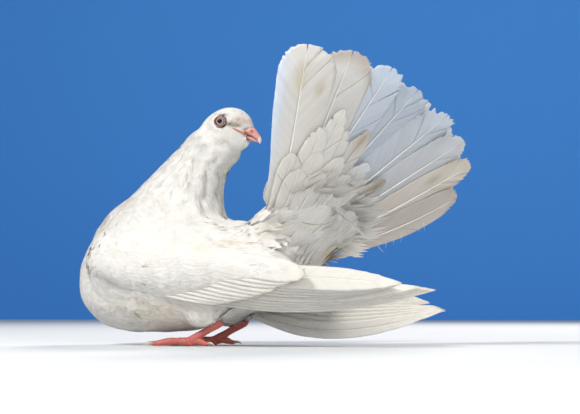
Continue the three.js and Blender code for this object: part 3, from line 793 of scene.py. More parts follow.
def bare(places):
    """True where no feather grows: in the eyes' openings and on the bill."""
    forwards, up = from_skull(places)
    in_lids = (from_eye(places) < LID_RADIUS + 0.15) & (np.abs(places[:, 1]) > 5)
    at_bill = (forwards > np.where(up > MOUTH_UP, FOREHEAD_END, CHIN_END)) & (above_nape(places) > 0)
    return in_lids | at_bill


def eye_room(places):
    """Distance from each place to the edge of the eye's opening, or more away from the eyes' sides."""
    return from_eye(places) - LID_RADIUS + 0.1 + 2 * np.clip(6 - np.abs(places[:, 1]), 0, 9)


# Each tuft's rows of points as shares of its length, its width at them, and its two sides
TUFT_ROWS = np.array([0, 0.42, 0.78, 1.0])[None, :, None]
TUFT_WIDE = np.array([0.5, 1.0, 0.75, 0.06])[None, :, None]
TUFT_SIDES = np.array([-1.0, 1.0])[None, None]
TUFT_OVERLAP = 0.8  # half width of a tuft as a share of the room that it has


def laid_on_skin(flat, long, shares, normal):
    """Lays the tufts' flat grids of points along the skin. Gives their places and which way they face."""
    on_skin, up, _ = ground.nearest(flat)
    # Past the end of a wing or of the tail's root the feather runs on freely
    free = ease(np.linalg.norm(flat - on_skin, axis=-1) / long, 0.2, 0.45)
    free = (free * (shares[:, WING] + shares[:, TAIL])[:, None, None])[..., None]
    base = mix(on_skin, flat, free)
    up = unit(mix(up, normal[:, None, None], free))
    # Where a tip reaches round the edge of the skin, the tuft's own slope says which way it faces
    own = unit(np.cross(np.gradient(base, axis=1), base[:, :, 1:] - base[:, :, :1]) + 1e-9 * up)
    return base, np.where((own * up).sum(-1, keepdims=True) < 0.2, own, up)


def contour_feathers(pile, places, shares, region):
    """Lays a small feather at each place. Each is a fan of slim tufts of barbs from one root, so that
    its tip is soft and frayed and runs into its neighbours."""
    tufts, feathers = TUFTS[region], len(places)
    count = feathers * tufts
    _, normal, bake = ground.nearest(places)
    way = lie(places, shares)
    way = unit(way - normal * (way * normal).sum(1, keepdims=True))
    side = np.cross(normal, way)
    stray = rng.normal(0, 1, feathers) * (shares @ STRAY)
    long = lengths(places, shares) * rng.uniform(0.85, 1.15, feathers)
    long = np.minimum(long, np.maximum(1.5, eye_room(places) * 0.9))
    lift = shares @ TIP_LIFT * rng.uniform(0.3, 1.4, feathers)
    bright = 1 - (shares @ UNLIKE) * rng.random(feathers)
    vary = rng.uniform(0.5, 1.5, feathers)
    # From here on there is one row for each tuft
    outwards = np.tile(np.linspace(-1, 1, tufts), feathers)
    each = np.repeat(np.arange(feathers), tufts)
    places, normal, way, side, shares = (values[each] for values in (places, normal, way, side, shares))
    angle = stray[each] + outwards * (shares @ FANNING) / 2 + rng.normal(0, 0.03, count)
    way, side = (way * np.cos(angle)[:, None] + side * np.sin(angle)[:, None],
                 side * np.cos(angle)[:, None] - way * np.sin(angle)[:, None])
    half = long[each] * (shares @ WIDTH_SHARE) / tufts * TUFT_OVERLAP
    long = (long[each] * (1 - 0.16 * outwards ** 2) * rng.uniform(0.88, 1.06, count))[:, None, None]
    w = half[:, None, None] * TUFT_WIDE * TUFT_SIDES
    t = TUFT_ROWS * long + 0 * w
    flat = places[:, None, None] + way[:, None, None] * t[..., None] + side[:, None, None] * w[..., None]
    base, up = laid_on_skin(flat, long, shares, normal)
    depth = coat_depth(base.reshape(-1, 3)).reshape(t.shape)
    # From its root in the skin a feather soon lies in the coat's outermost third of a millimetre
    shallow = 0.14 * depth + 0.08
    height = (depth - shallow) * ease(TUFT_ROWS, -0.05, 0.4) + shallow * TUFT_ROWS
    uneven = lift[each] + 0.02 * rng.normal(0, 1, count) - 0.04 * np.abs(outwards)
    height = height + uneven[:, None, None] * TUFT_ROWS ** 2
    thick = mix(0.04, 0.07, ease(long, 3, 12))
    points = np.stack([base + up * (height + thick)[..., None], base + up * height[..., None]], 1)
    tint = marks_and_shade(base, np.repeat(vary[each], t[0].size)).reshape(*t.shape, 3)
    # Painted shade: each tuft is a little darker towards its root, where the feathers over it lie
    tint = tint * (mix(0.95, 1.0, TUFT_ROWS) * bright[each][:, None, None])[..., None]
    web = np.stack([t, 0.3 * w + rng.uniform(0, 900, count)[:, None, None]], -1)
    patch = np.stack([TUFT_SIDES / 2 + 0 * TUFT_ROWS, TUFT_ROWS - 0.5 + 0 * TUFT_SIDES], -1) * PATCH
    baked = bake[each][:, None, None] + patch
    twice = [np.stack([values, values], 1) for values in (tint, web, baked)]
    # Barbs merge into one soft surface, so a tuft is shaded by the coat's own curve, a little rounded
    shading = unit(up + 0.22 * side[:, None, None] * TUFT_SIDES[..., None])
    pile.add(points, sheet_faces(4, 2)[:, ::-1], *twice, rim=8, copies=count,
             normals=np.stack([shading, -shading], 1))


def piece_name(place, region):
    """Name of the piece that a feather belongs to. The coat is parted so that no piece is too large."""
    if region == "torso":
        return "coat_breast" if place[0] < -50 else "coat_back" if place[2] > 50 else "coat_belly"
    if region in ("wing", "neck", "thigh"):
        return f"coat_{region}_" + ("left" if place[1] < 0 else "right")
    return "coat_" + region


def body_plumage():
    """The whole coat of small feathers, one piece for each part of the body."""
    places, shares = scatter()
    # No feather grows where a wing ends bluntly, because its lie would run into the open
    facing = (lie(places, shares) * ground.nearest(places)[1]).sum(1)
    grown = ~bare(places) & ((facing < 0.7) | (shares[:, WING] < 0.5))
    places, shares = places[grown], shares[grown]
    strongest = shares.argmax(1)
    names = np.array([piece_name(place, REGIONS[i]) for place, i in zip(places, strongest)])
    for name in sorted(set(names)):
        here = names == name
        pile = Pile()
        contour_feathers(pile, places[here], shares[here], strongest[here][0])
        pile.build(name, [contour_vane])


body_plumage()


# Large feathers: two vanes of barbs on a shaft

PALE_SHAFT, DARK_SHAFT = "f1eee6", "8b857a"


def blunt(t):
    """Width of a vane with a broad round end at t, from 0 at the root to 1 at the shaft's tip."""
    end = np.clip((t - 0.85) / 0.185, 0, 1)
    return mix(0.38, 1, ease(t, -0.1, 0.75)) * np.sqrt(1 - end ** 2.4)


def pointed(t):
    """The same for a vane that narrows to a point."""
    return mix(0.5, 1, ease(t, 0, 0.4)) * np.sqrt(np.clip(1 - ease(t, 0.45, 1.03) ** 2, 0, 1))


def rounded(t):
    """The same for a vane that narrows to a small round end."""
    end = np.clip((t - 0.72) / 0.31, 0, 1)
    return mix(0.5, 1, ease(t, 0, 0.6)) * np.sqrt(1 - end ** 2)


def barb_slope(start):
    """Barbs lean further forwards the nearer to the tip they leave the shaft."""
    return BARB_SLOPE + TIP_SLOPE * ease(start, 0.86, 1.0) ** 2


def barb_reach(start, wide, share, length):
    """How far out the barbs that leave the shaft at start end on the vane's outline."""
    low, high = np.zeros(len(start)), np.full(len(start), float(wide))
    for _ in range(16):
        middle = (low + high) / 2
        inside = wide * share(start + barb_slope(start) * middle / length) > middle
        low, high = np.where(inside, middle, low), np.where(inside, high, middle)
    return low


class Strips:
    """Places for large feathers on a bake map: one strip each, side by side."""

    def __init__(self, count):
        self.count, self.used = count, 0

    def next(self):
        low = (self.used + 0.04) / self.count
        self.used += 1
        return low, 0.92 / self.count


def large_feather(pile, strips, surface, normal, length, halves, share, tint, start=0.08, rows=60,
                  columns=6, wear=0.03, splits=(), shaft=0.5, shaft_code=PALE_SHAFT, shaft_side=1.0,
                  thick=VANE):
    """A feather with a shaft and two vanes. surface(t, w) gives its places and tint(t, w) their colours.
    halves are the vanes' full widths on the sides of negative and positive w, share is their outline and
    wear how ragged it is. splits lists (side, t, opening in mm), and shaft is the shaft's radius."""
    low_u, wide_u = strips.next()
    seed = rng.uniform(0, 900)
    fan = np.linspace(0, 1, columns)
    full = halves[0] + halves[1]
    for side, wide in zip((-1, 1), halves):
        cuts = sorted([(t, gap) for way, t, gap in splits if way == side])
        edges = [(start, 0.0)] + cuts + [(1.0, 0.0)]
        for (t0, gap0), (t1, gap1) in zip(edges[:-1], edges[1:]):
            count = max(4, int(rows * (t1 - t0)))
            begin = np.linspace(t0, t1, count)
            reach = barb_reach(begin, wide, share, length)
            worn = wear * mix(0.2, 1, ease(begin, 0.55, 0.85))
            worn = worn * BARB_SLOPE / barb_slope(begin) * mix(1, 2.5, ease(begin, 0.8, 0.95))
            reach = reach * (1 + worn * (rng.normal(0, 0.8, count) - 2 * (rng.random(count) > 0.85)))
            out = reach[:, None] * fan
            open_up = np.linspace(gap0, -gap1, count)[:, None] * fan ** 1.6 / length / 2
            t = begin[:, None] + barb_slope(begin)[:, None] * out / length + open_up
            w = side * out
            middle = surface(t, w)
            points = np.stack([middle + normal * thick / 2, middle - normal * thick / 2])
            colour = tint(t, w)
            web = np.stack([out, begin[:, None] * length + seed + 0 * out], -1)
            bake = np.stack([low_u + wide_u * (w + halves[0]) / full, np.clip(t, 0, 1.1) / 1.1], -1)
            faces = sheet_faces(count, columns)
            if side > 0:
                faces = faces[:, ::-1]
            pile.add(points, faces, (colour,) * 2, (web,) * 2, (bake,) * 2, rim=2 * (count + columns - 2))
    t = np.linspace(max(0.0, start - 0.08), 0.985, 26)
    radii = mix(shaft, 0.16, t ** 0.8)
    spine = surface(t, 0 * t) + normal * (shaft_side * (thick / 2 + radii * 0.35))[:, None]
    rings = tube_rings(spine, radii, 6, normal)
    shade = np.repeat(mix(tint(t, 0 * t), linear(shaft_code), 0.6), 6, 0)
    bake = np.repeat(np.stack([low_u + wide_u * (halves[0] / full) + 0 * t, t / 1.1], -1), 6, 0)
    pile.add(rings, loft_faces(len(t), 6), shade, None, bake, slot=1)


# The fanned tail

def tail_line(u, reach):
    """Middle line of a tail feather at sideways place u: arrays of t, along, sideways and angle."""
    steps = 12
    angles = u * TAIL_SPREAD * mix(0.75, 1, ease((np.arange(steps) + 0.5) / steps, 0, 0.5))
    angles = np.append(angles, [angles[-1]] * 4)
    step = reach / steps
    along = TAIL_ROOTS_AT + 3 * (1 - u * u) + np.append(0, np.cumsum(np.cos(angles) * step))
    sideways = TAIL_HALF_ROOT * u + np.append(0, np.cumsum(np.sin(angles) * step))
    return np.arange(len(along)) / steps, along, sideways, np.append(angles[0], angles)


def tail_surface(u, reach, low, camber=1.6, tilt=0.0, curl=0.0, bend=0.0):
    """Surface of a tail feather. camber bends its edges back, tilt turns it on its shaft, curl brings
    the tip forward and bend curves it sideways in its own plane."""
    keys, along, sideways, angles = tail_line(u, reach)

    def surface(t, w):
        x, y, angle = (np.interp(t, keys, values) for values in (along, sideways, angles))
        y = y + bend * ease(t, 0.3, 1.0) ** 2
        lift = low * ease(x, TAIL_ROOTS_AT - 4, TAIL_ROOTS_AT + 22)
        lift = lift - camber * (w / 18) ** 2 + tilt * w / 18 + curl * np.clip(t - 0.6, 0, 1) ** 2
        return on_fan(x - w * np.sin(angle), y + w * np.cos(angle), lift)

    return surface


def vane_tint(base, edge=None, edge_at=0.88, spots=(), wide=18.0, length=124.0, painted_skylight_strip=None):
    """Colour over a large feather: base, an edge near the tip (worn on the wings, and on the tail partly
    worn and partly painted shade), a thin strip of painted sky light shining through the vane, painted
    shade towards the root, and stains.
    A spot is (t, across in mm, reach along in mm, reach across in mm, colour, strength)."""
    base = linear(base)

    def tint(t, w):
        t, w = np.broadcast_arrays(t, w)
        # Painted shade: a little darker towards the root, where other feathers lie over it
        colour = np.tile(base, (*t.shape, 1)) * mix(0.96, 1.0, ease(t, 0, 0.4))[..., None]
        if painted_skylight_strip is not None:
            way, code = painted_skylight_strip
            colour = mix(colour, linear(code), (0.85 * ease(way * w / wide, 0.25, 0.85))[..., None])
        if edge is not None:
            round_tip = t + 0.1 * (w / wide) ** 2
            colour = mix(colour, linear(edge), (0.6 * ease(round_tip, edge_at, 1.03))[..., None])
        for at_t, at_w, long, across, code, strength in spots:
            far = ((t - at_t) * length / long) ** 2 + ((w - at_w) / across) ** 2
            colour = mix(colour, linear(code), (strength * np.exp(-far))[..., None])
        return colour

    return tint


# Tail feathers in view: sideways place, reach, layer towards the viewer, widths to the right and left
# of the shaft, wear, tint and splits
# Their greys and blue-greys are painted light: the greys are painted shade, the blues painted sky light
# shining through one vane. The spots are stains.
FRONT_FEATHERS = [
    (0.97, 120, 4.4, (21, 15), 0.02,
     dict(base="eceae5", painted_skylight_strip=(1, "e2eaf4"), spots=[(0.86, 1, 9, 3, "dccfa9", 0.5),
                                                      (0.8, -12, 4, 2.5, "b9b27f", 0.5)]),
     [(-1, 0.9, 1.2), (-1, 0.8, 0.7)]),
    (0.71, 124, 3.5, (19, 17), 0.025,
     dict(base="e9e8e5", edge="c3b8ab", edge_at=0.92), [(-1, 0.78, 0.8)]),
    (0.45, 124, 2.5, (15, 15), 0.04,
     dict(base="dde4ec", edge="d3dbe4"), [(-1, 0.8, 2.5), (-1, 0.62, 1.0), (1, 0.85, 1.0)]),
    (0.20, 120, 1.0, (20, 19), 0.04,
     dict(base="d2dae3", edge="c6ced8"), [(1, 0.84, 1.5), (-1, 0.8, 1.5), (-1, 0.9, 1.5)]),
    (-0.11, 120, 1.9, (20, 18), 0.04,
     dict(base="dae0e6", edge="ccd3da"), [(-1, 0.86, 2.0), (-1, 0.7, 1.0), (1, 0.8, 0.8)]),
    (-0.40, 118, 2.8, (19, 18), 0.03,
     dict(base="e0e2e5", edge="ced1d4"), [(-1, 0.84, 1.2)]),
    (-0.70, 116, 3.7, (19, 17), 0.03,
     dict(base="eae4dc", edge="d3cabd", spots=[(0.78, 8, 6, 3, "b29c7b", 0.4)]),
     [(-1, 0.9, 1.8), (-1, 0.82, 1.8), (-1, 0.74, 1.0)]),
    (-1.0, 103, 4.6, (15, 17), 0.03,
     dict(base="dad4cc", edge="c9c0b6", edge_at=0.92), [(-1, 0.55, 0.8)]),
]
# Tail feathers behind them: sideways place, reach and layer
BACK_FEATHERS = [
    (0.84, 114, 0.0), (0.58, 118, -0.7), (0.33, 118, -1.4), (0.05, 117, -2.1),
    (-0.26, 116, -1.4), (-0.55, 113, -0.7), (-0.85, 106, 0.0),
]
# Coverts under the tail: sideways place, reach, layer, half width, bend, tint and, on the two that have a
# dark shaft, the stained tip
UNDER_COVERTS = [
    (0.50, 78, 5.6, 8.0, 0.0, "eeece8"),
    (0.61, 90, 6.4, 8.0, 1.0, "f1efea"),
    (0.73, 75, 7.0, 9.0, 0.0, "f2f0eb"),
    (0.33, 84, 5.2, 7.5, 0.0, "e9e6e1", (0.95, 0, 9, 4, "bba789", 0.6)),
    (0.10, 66, 5.0, 8.5, 0.0, "eaebeb"),
    (-0.19, 65, 5.8, 7.5, 0.0, "e6e3dd", (0.92, 0, 13, 4, "9a8b64", 0.65)),
    (0.92, 54, 6.6, 7.5, 0.0, "f0eee9"),
    (0.66, 60, 7.6, 8.5, 0.0, "f2f0eb"),
    (0.42, 62, 7.4, 8.5, 0.0, "f1efea"),
    (0.22, 54, 8.0, 8.5, 0.0, "f0eeea"),
    (-0.02, 48, 8.2, 8.5, 0.0, "f0eeea"),
    (0.80, 46, 8.4, 8.5, 0.0, "f2f0eb"),
    (0.54, 49, 8.8, 9.0, 0.0, "f2f0eb"),
    (-0.30, 42, 7.6, 8.0, 0.0, "efede9"),
    (-0.56, 36, 7.0, 8.0, 0.0, "eeebe6"),
    (-0.82, 30, 6.6, 8.0, 0.0, "ece9e4"),
]
# The rows of coverts on the fan's upper side: reach and layer, and how many there are in each
UPPER_COVERTS = [(62, -4.0), (38, -6.0)]
UPPER_COUNT = 15


def fan():
    """The tail feathers, those at the back first."""
    pile = Pile()
    strips = Strips(len(FRONT_FEATHERS) + len(BACK_FEATHERS))
    for u, reach, low in BACK_FEATHERS:
        surface = tail_surface(u, reach, low, tilt=-0.5 * np.sign(u))
        # Pale grey all over, a painted shade on the feathers at the back
        large_feather(pile, strips, surface, tail_under, reach, (17, 17), blunt, vane_tint("e2e3e4"),
                      wear=0.04, columns=7, shaft=1.0)
    for u, reach, low, halves, wear, colours, splits in FRONT_FEATHERS:
        surface = tail_surface(u, reach, low, tilt=-0.7 * np.sign(u), curl=rng.normal(0, 2))
        tint = vane_tint(**colours, length=reach)
        large_feather(pile, strips, surface, tail_under, reach, halves, blunt, tint, wear=wear, rows=90,
                      columns=9, splits=splits, shaft=1.1)
    return pile.build("tail_fan", [flight_vane, shaft_keratin])


def tail_coverts():
    """The coverts on both sides of the fan, which hide the roots of its feathers."""
    pile = Pile()
    strips = Strips(len(UNDER_COVERTS) + len(UPPER_COVERTS) * UPPER_COUNT)
    for u, reach, low, half, bend, base, *stain in UNDER_COVERTS:
        surface = tail_surface(u, reach, low, camber=1.2, bend=bend)
        tint = vane_tint(base, spots=stain, length=reach)
        large_feather(pile, strips, surface, tail_under, reach, (half, half), rounded, tint, wear=0.05,
                      shaft=0.4, shaft_code=DARK_SHAFT if stain else PALE_SHAFT, thick=0.2,
                      splits=[(-1, 0.7, 0.6), (1, 0.6, 0.6)])
    for reach, low in UPPER_COVERTS:
        for i in range(UPPER_COUNT):
            u = (2 * i / (UPPER_COUNT - 1) - 1) * 0.8
            long = reach * (1 - 0.12 * u * u) * rng.uniform(0.92, 1.06)
            surface = tail_surface(u, long, low - 0.5 * (i % 2), camber=-3)
            large_feather(pile, strips, surface, tail_under, long, (10, 10), rounded, vane_tint("f0eeea"),
                          rows=36, columns=5, shaft=0.45, shaft_side=-1)
    return pile.build("tail_coverts", [flight_vane, shaft_keratin])


def loose_barbs():
    """Down at the fan's lower edge, a curled shaft over its coverts, and by its root a dark tube, a
    painted shadow in a slit between two coverts.
    """
    pile = Pile()
    rows = 14

    def wisp(keys, radius, code):
        spine = through(np.array(keys, float), np.linspace(0, len(keys) - 1, rows))
        taper = radius * np.sqrt(np.linspace(1.0, 0.04, rows))
        pile.add(tube_rings(spine, taper, 6, (0, 0, 1)), loft_faces(rows, 6), linear(code))

    # Down that hangs from the lower edge of the fan
    for i in range(7):
        p, q = 40 + 5.2 * i + rng.uniform(-1, 1), -(64 + 3.3 * i)
        hang, lean = rng.uniform(3, 7), rng.uniform(-2, 3)
        start = on_fan(p, q, 3.0)
        middle = start + [0.3 * hang, -1, -0.45 * hang]
        end = start + [0.45 * hang + lean, -1.5, -hang]
        wisp([start, middle, end], 0.17, "eef0f2")
    # The curled bare shaft
    keys = [on_fan(29 + 2.4 * k, 19 - 4.6 * k, 16.5 - 0.7 * (k - 1.5) ** 2) for k in range(4)]
    wisp(keys, 0.34, "8f8e62")
    # A dark tube: the painted shadow in the slit between two coverts
    keys = [on_fan(15 + 3.6 * k, -25 - 1.2 * k, 13 - 1.2 * k) for k in range(4)]
    wisp(keys[::-1], 0.55, "4c3a20")
    return pile.build("loose_barbs", [shaft_keratin])


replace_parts(fan(), "tail")
tail_coverts()
loose_barbs()


# The folded wings

def wing_side(x, z):
    """The wing form's outer side at a place seen from the left."""
    x = max(-80, x)
    keys = np.array(WING_MASS, float)
    yc, zc, a, b = (np.interp(x, keys[:, 0], keys[:, k]) for k in (1, 2, 4, 5))
    high = min(0.94, abs(z - zc) / max(a, 6))
    return yc - b * math.sqrt(1 - high * high)


def wing_surface(root, tip, half, reach, tilt, bow=0.0):
    """Surface of a wing feather from root to tip, both as (x, z), and its length. Positive w is its lower
    edge, reach is the tip's y, tilt stands the edge off the body and bow curves the shaft downwards."""
    root, tip = np.array(root, float), np.array(tip, float)
    length = np.linalg.norm(tip - root)
    way = (tip - root) / length
    root_y = wing_side(*root) + WING_ROOT_DEPTH

    def surface(t, w):
        t, w = np.broadcast_arrays(np.asarray(t, float), w)
        down = w - bow * np.sin(math.pi * np.clip(t, 0, 1))
        x = root[0] + way[0] * length * t + way[1] * down
        z = root[1] + way[1] * length * t - way[0] * down
        y = mix(root_y, reach, ease(t, 0, 0.6)) - tilt * w / half + 0.5 * (w / half) ** 2
        return np.stack([x, y, z], -1)

    return surface, length


def wing(name, slack, place=lambda p: p, normal=(0, -1, 0)):
    """The flight feathers of a folded wing. The coat covers their roots."""
    pile = Pile()
    rows = []
    primaries, long_ones, secondaries = 10, 5, 10
    for i in range(primaries):
        k = i / (primaries - 1)
        tip_x = 146 - 2.2 * i if i < long_ones else 112 + 2 * i
        tip = (tip_x + rng.uniform(-0.6, 0.6), mix(35.5, 39.5, k) + slack * 0.5)
        shape = dict(root=(mix(-12, 20, k), mix(32, 46, k)), tip=tip, half=mix(5.6, 7.5, k),
                     reach=mix(-15, -33, k), tilt=1.5, bow=mix(-6 - slack, 0.5, k))
        rows.append((shape, pointed, "f2f0eb"))
    for i in range(secondaries):
        k = i / (secondaries - 1)
        tip = (mix(18, 71, k) + rng.uniform(-1, 1), mix(33, 45.5, k ** 1.4) - slack * 0.6)
        shape = dict(root=(mix(-40, 2, k), mix(38, 56, k)), tip=tip, half=mix(7, 7.5, k),
                     reach=mix(-39.5, -43.5, k), tilt=1.1)
        rows.append((shape, blunt if k < 0.75 else rounded, "f4f2ed"))
    strips = Strips(len(rows))
    for shape, share, base in rows:
        surface, length = wing_surface(**shape)
        half = shape["half"]
        tint = vane_tint(base, edge="e6ddce", edge_at=0.95, wide=half, length=length)
        large_feather(pile, strips, lambda t, w: place(surface(t, w)), np.array(normal, float), length,
                      (half, half), share, tint, start=0.02, rows=48)
    feathers = pile.build(name, [flight_vane, shaft_keratin])
    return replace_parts(feathers, "wing_left" if slack == 0 else "wing_right")


wing("wing_feathers_left", 0.0)
wing("wing_feathers_right", FAR_WING_SLACK, on_right, (0, 1, 0))


# Bill, eyes and lids

# The two halves of the bill: [forwards, up, half high, half wide]
UPPER_BILL = [
    [11, -2.2, 1.3, 4.2],
    [16, -1.5, 1.8, 4.3],
    [20, -0.7, 2.6, 3.7],
    [22.3, -0.3, 2.8, 2.9],
    [24.6, -1.2, 2.25, 2.3],
    [27.3, -2.5, 1.6, 1.65],
    [28.8, -3.9, 1.2, 1.15],
    [29.3, -5.3, 0.4, 0.45],
]
LOWER_BILL = [
    [11, -4.3, 1.4, 4.2],
    [17, -4.4, 1.45, 3.4],
    [21, -4.5, 1.4, 2.6],
    [24.6, -4.7, 1.1, 1.9],
    [26.6, -4.8, 0.6, 1.15],
    [27.3, -4.85, 0.25, 0.5],
]
BILL_HOOK = 34.0  # degrees that the upper tip bends down


def bill_half(name, stations, hook, cere):
    """Half of the bill. cere is how far the soft swelling over the nostrils stands up."""
    placed = []
    for forwards, up, a, b in stations:
        x, _, z = in_head(forwards, up)
        placed.append([x, 0, z, -math.degrees(HEAD_PITCH) - float(ease(forwards, 24, 30)) * hook, a, b])
    rows, sides = 44, 32
    rings = oval_rings(placed, rows, sides)
    at = rings.reshape(-1, 3)
    forwards, up = from_skull(at)
    side = np.abs(at[:, 1])
    middle = np.repeat(rings.mean(1), sides, 0)
    outwards = unit(at - middle)
    swell = cere * np.exp(-((forwards - 20.4) / 1.9) ** 2 - ((up - 1.2) / 1.3) ** 2
                          - ((side - 2.4) / 1.6) ** 2)
    groove = -0.3 * cere * np.exp(-((forwards - 22.8) / 1.0) ** 2) * ease(side, 0.5, 2)
    at = at + outwards * (swell + groove)[:, None]
    rose, pink, horn, dark = linear("b9685f"), linear("d69b90"), linear("ece0d2"), linear("8f4a44")
    colour = mix(rose, pink, ease(forwards + 0.6 * up, 15, 22)[:, None])
    colour = mix(colour, horn, ease(forwards, 26.6, 29)[:, None])
    streak = np.sin(forwards * 1.1 + up * 5.3) * np.sin(up * 3.1 - forwards * 0.4)
    colour = colour * (1 + 0.09 * streak)[:, None]
    mouth = np.exp(-((up + 3.2 + 0.05 * (forwards - 20)) / 0.2) ** 2) * ease(forwards, 29, 24)
    colour = mix(colour, dark, 0.8 * mouth[:, None])
    colour = mix(colour, linear("e6bdb2"), 0.6 * np.clip(swell, 0, 1)[:, None])
    pile = Pile()
    pile.add(at, loft_faces(rows, sides), colour)
    return pile.build(name, [bill_horn])


def nostrils():
    """Two slits under the swelling at the bill's base, drawn as dark tubes that are painted shade in the
    openings.
    """
    pile = Pile()
    t = np.linspace(-1, 1, 12)
    for side in (-1, 1):
        spine = [in_head(21.9 + 1.4 * k, 0.35 - 0.5 * k, side * (3.3 - 0.35 * k)) for k in t]
        pile.add(tube_rings(spine, 0.28 * np.sqrt(np.clip(1 - t ** 2, 0.01, 1)), 8), loft_faces(12, 8),
                 linear("5a2622"))
    return pile.build("nostrils", [bare_skin])


def gape():
    """Pink lips on each cheek, from the bill's sides back to the corner of the mouth."""
    pile = Pile()
    for side in (-1, 1):
        for rise, thick, code in ((0.34, 0.42, "d09289"), (-0.4, 0.38, "c4857b"), (0.0, 0.26, "7a3c38")):
            keys = np.linspace(0, 1, 20)
            forwards, up = mix(10.6, 21.5, keys), mix(-2.3, -3.2, keys) + rise * ease(keys, -0.1, 0.4)
            guess = np.array([in_head(f, u, side * mix(9, 3.4, k)) for f, u, k in zip(forwards, up, keys)])
            on_skin, out, _ = ground.nearest(guess)
            spine = on_skin + out * mix(0.7, 0.95, keys)[:, None]
            radii = thick * np.sqrt(np.clip(ease(keys, -0.05, 0.3) * ease(keys, 1.03, 0.65), 0.02, 1))
            pile.add(tube_rings(spine, radii, 10, (0, 0, 1)), loft_faces(20, 10), linear(code))
    return pile.build("gape", [bare_skin])


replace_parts(bill_half("bill_upper", UPPER_BILL, BILL_HOOK, 0.7), "beak_upper")
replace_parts(bill_half("bill_lower", LOWER_BILL, 0, 0.0), "beak_lower")
nostrils()
gape()


def eye(side, word):
    """Eyeball with a black pupil, a pale pinkish iris and a dark rim, looking out to the side."""
    rows, sides = 44, 48
    turn = np.linspace(0, 2 * math.pi, sides, endpoint=False)
    polar = np.linspace(0.02, 1.75, rows)
    look = unit(np.array([0.14, side, 0.02]))
    right = unit(np.cross(look, [0, 0, 1]))
    up = np.cross(right, look)
    ring = np.cos(turn)[:, None] * right + np.sin(turn)[:, None] * up
    # The clear front of the eye bulges a little
    bulge = 0.25
    radius = EYE_RADIUS - 0.08 - bulge + bulge * np.exp(-(polar / 0.55) ** 4)
    rings = (EYE * [1, side, 1] + radius[:, None, None] * (np.cos(polar)[:, None, None] * look
             + np.sin(polar)[:, None, None] * ring))
    # Colours by the distance from the eye's middle: the pupil, the iris in two tones and the rim
    r = EYE_RADIUS * np.sin(polar)[:, None] * np.ones(sides)
    spokes = 0.5 + 0.5 * np.sin(turn * 17 + 3 * np.sin(turn * 5))
    black, inner, outer, rim = linear("040404"), linear("967873"), linear("c6afa9"), linear("4a2320")
    colour = np.tile(black, (rows, sides, 1))
    colour = mix(colour, inner * (0.85 + 0.15 * spokes[None, :, None]), ease(r, 1.62, 1.75)[..., None])
    colour = mix(colour, outer * (0.9 + 0.1 * spokes[None, :, None]), ease(r, 1.9, 2.2)[..., None])
    colour = mix(colour, rim, ease(r, 2.6, 2.85)[..., None])
    pile = Pile()
    pile.add(rings, loft_faces(rows, sides), colour)
    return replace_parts(pile.build("eyeball_" + word, [wet_eye]), "eye_" + word)


def lids(side, word):
    """Two rings of bare wrinkled skin round the eye, the inner one dark and the outer one greyish pink."""
    pile = Pile()
    turn = np.linspace(0, 2 * math.pi, 72, endpoint=False)
    tilt = math.radians(-6 * side)
    for radius, out, thick, code in ((3.25, 3.0, 0.3, "5a3234"), (3.75, 2.75, 0.42, "b08a82")):
        wrinkle = 1 + 0.12 * np.sin(turn * 23) + 0.08 * np.sin(turn * 9 + 1)
        x, z = radius * np.cos(turn), radius * LID_OVAL * np.sin(turn)
        # The front corner of the eye is drawn out
        off_corner = np.mod(turn + 0.5 + math.pi, 2 * math.pi) - math.pi
        x = x + 0.4 * np.exp(-(off_corner / 0.35) ** 2)
        spine = EYE * [1, side, 1] + np.stack([x * math.cos(tilt), side * out + x * math.sin(tilt), z], -1)
        ring = np.stack([np.cos(turn), 0 * turn, np.sin(turn)], -1)
        section = np.linspace(0, 2 * math.pi, 10, endpoint=False)
        around = (np.cos(section)[:, None, None] * ring
                  + np.sin(section)[:, None, None] * np.array([0, side, 0]) * 0.8)
        rings = spine + around * (thick * wrinkle)[None, :, None]
        index = np.arange(rings.shape[0] * rings.shape[1]).reshape(rings.shape[:2])
        a, b = np.roll(index, -1, 0), np.roll(np.roll(index, -1, 0), -1, 1)
        faces = np.stack([index, a, b, np.roll(index, -1, 1)], -1).reshape(-1, 4)
        pile.add(rings, faces, linear(code))
    return pile.build("lids_" + word, [bare_skin])


# The head is turned right round, so its left eye is on the body's right side
for side, word in ((1, "left"), (-1, "right")):
    eye(side, word)
    lids(side, word)


# Legs and claws

# Degrees from straight ahead, and length
TOES = [(-27, 23), (-2, 29), (25, 24), (172, 13)]
SHANK_SCUTE, TOE_SCUTE = 2.4, 1.9


def toe_way(side, angle):
    return np.array([-math.cos(math.radians(angle)), side * math.sin(math.radians(angle)), 0])


def toe_line(side, toe, t):
    """Middle line of a toe at shares t of its length, raised at the knuckle."""
    angle, length = toe
    knuckle = 1.1 * np.sin(math.pi * np.minimum(1, t * 1.15))
    line = FOOT * [1, side, 1] + toe_way(side, angle) * (length * t)[:, None]
    line[:, 2] = mix(TOE_THICK * 0.62, 1.75, t) + knuckle
    return line


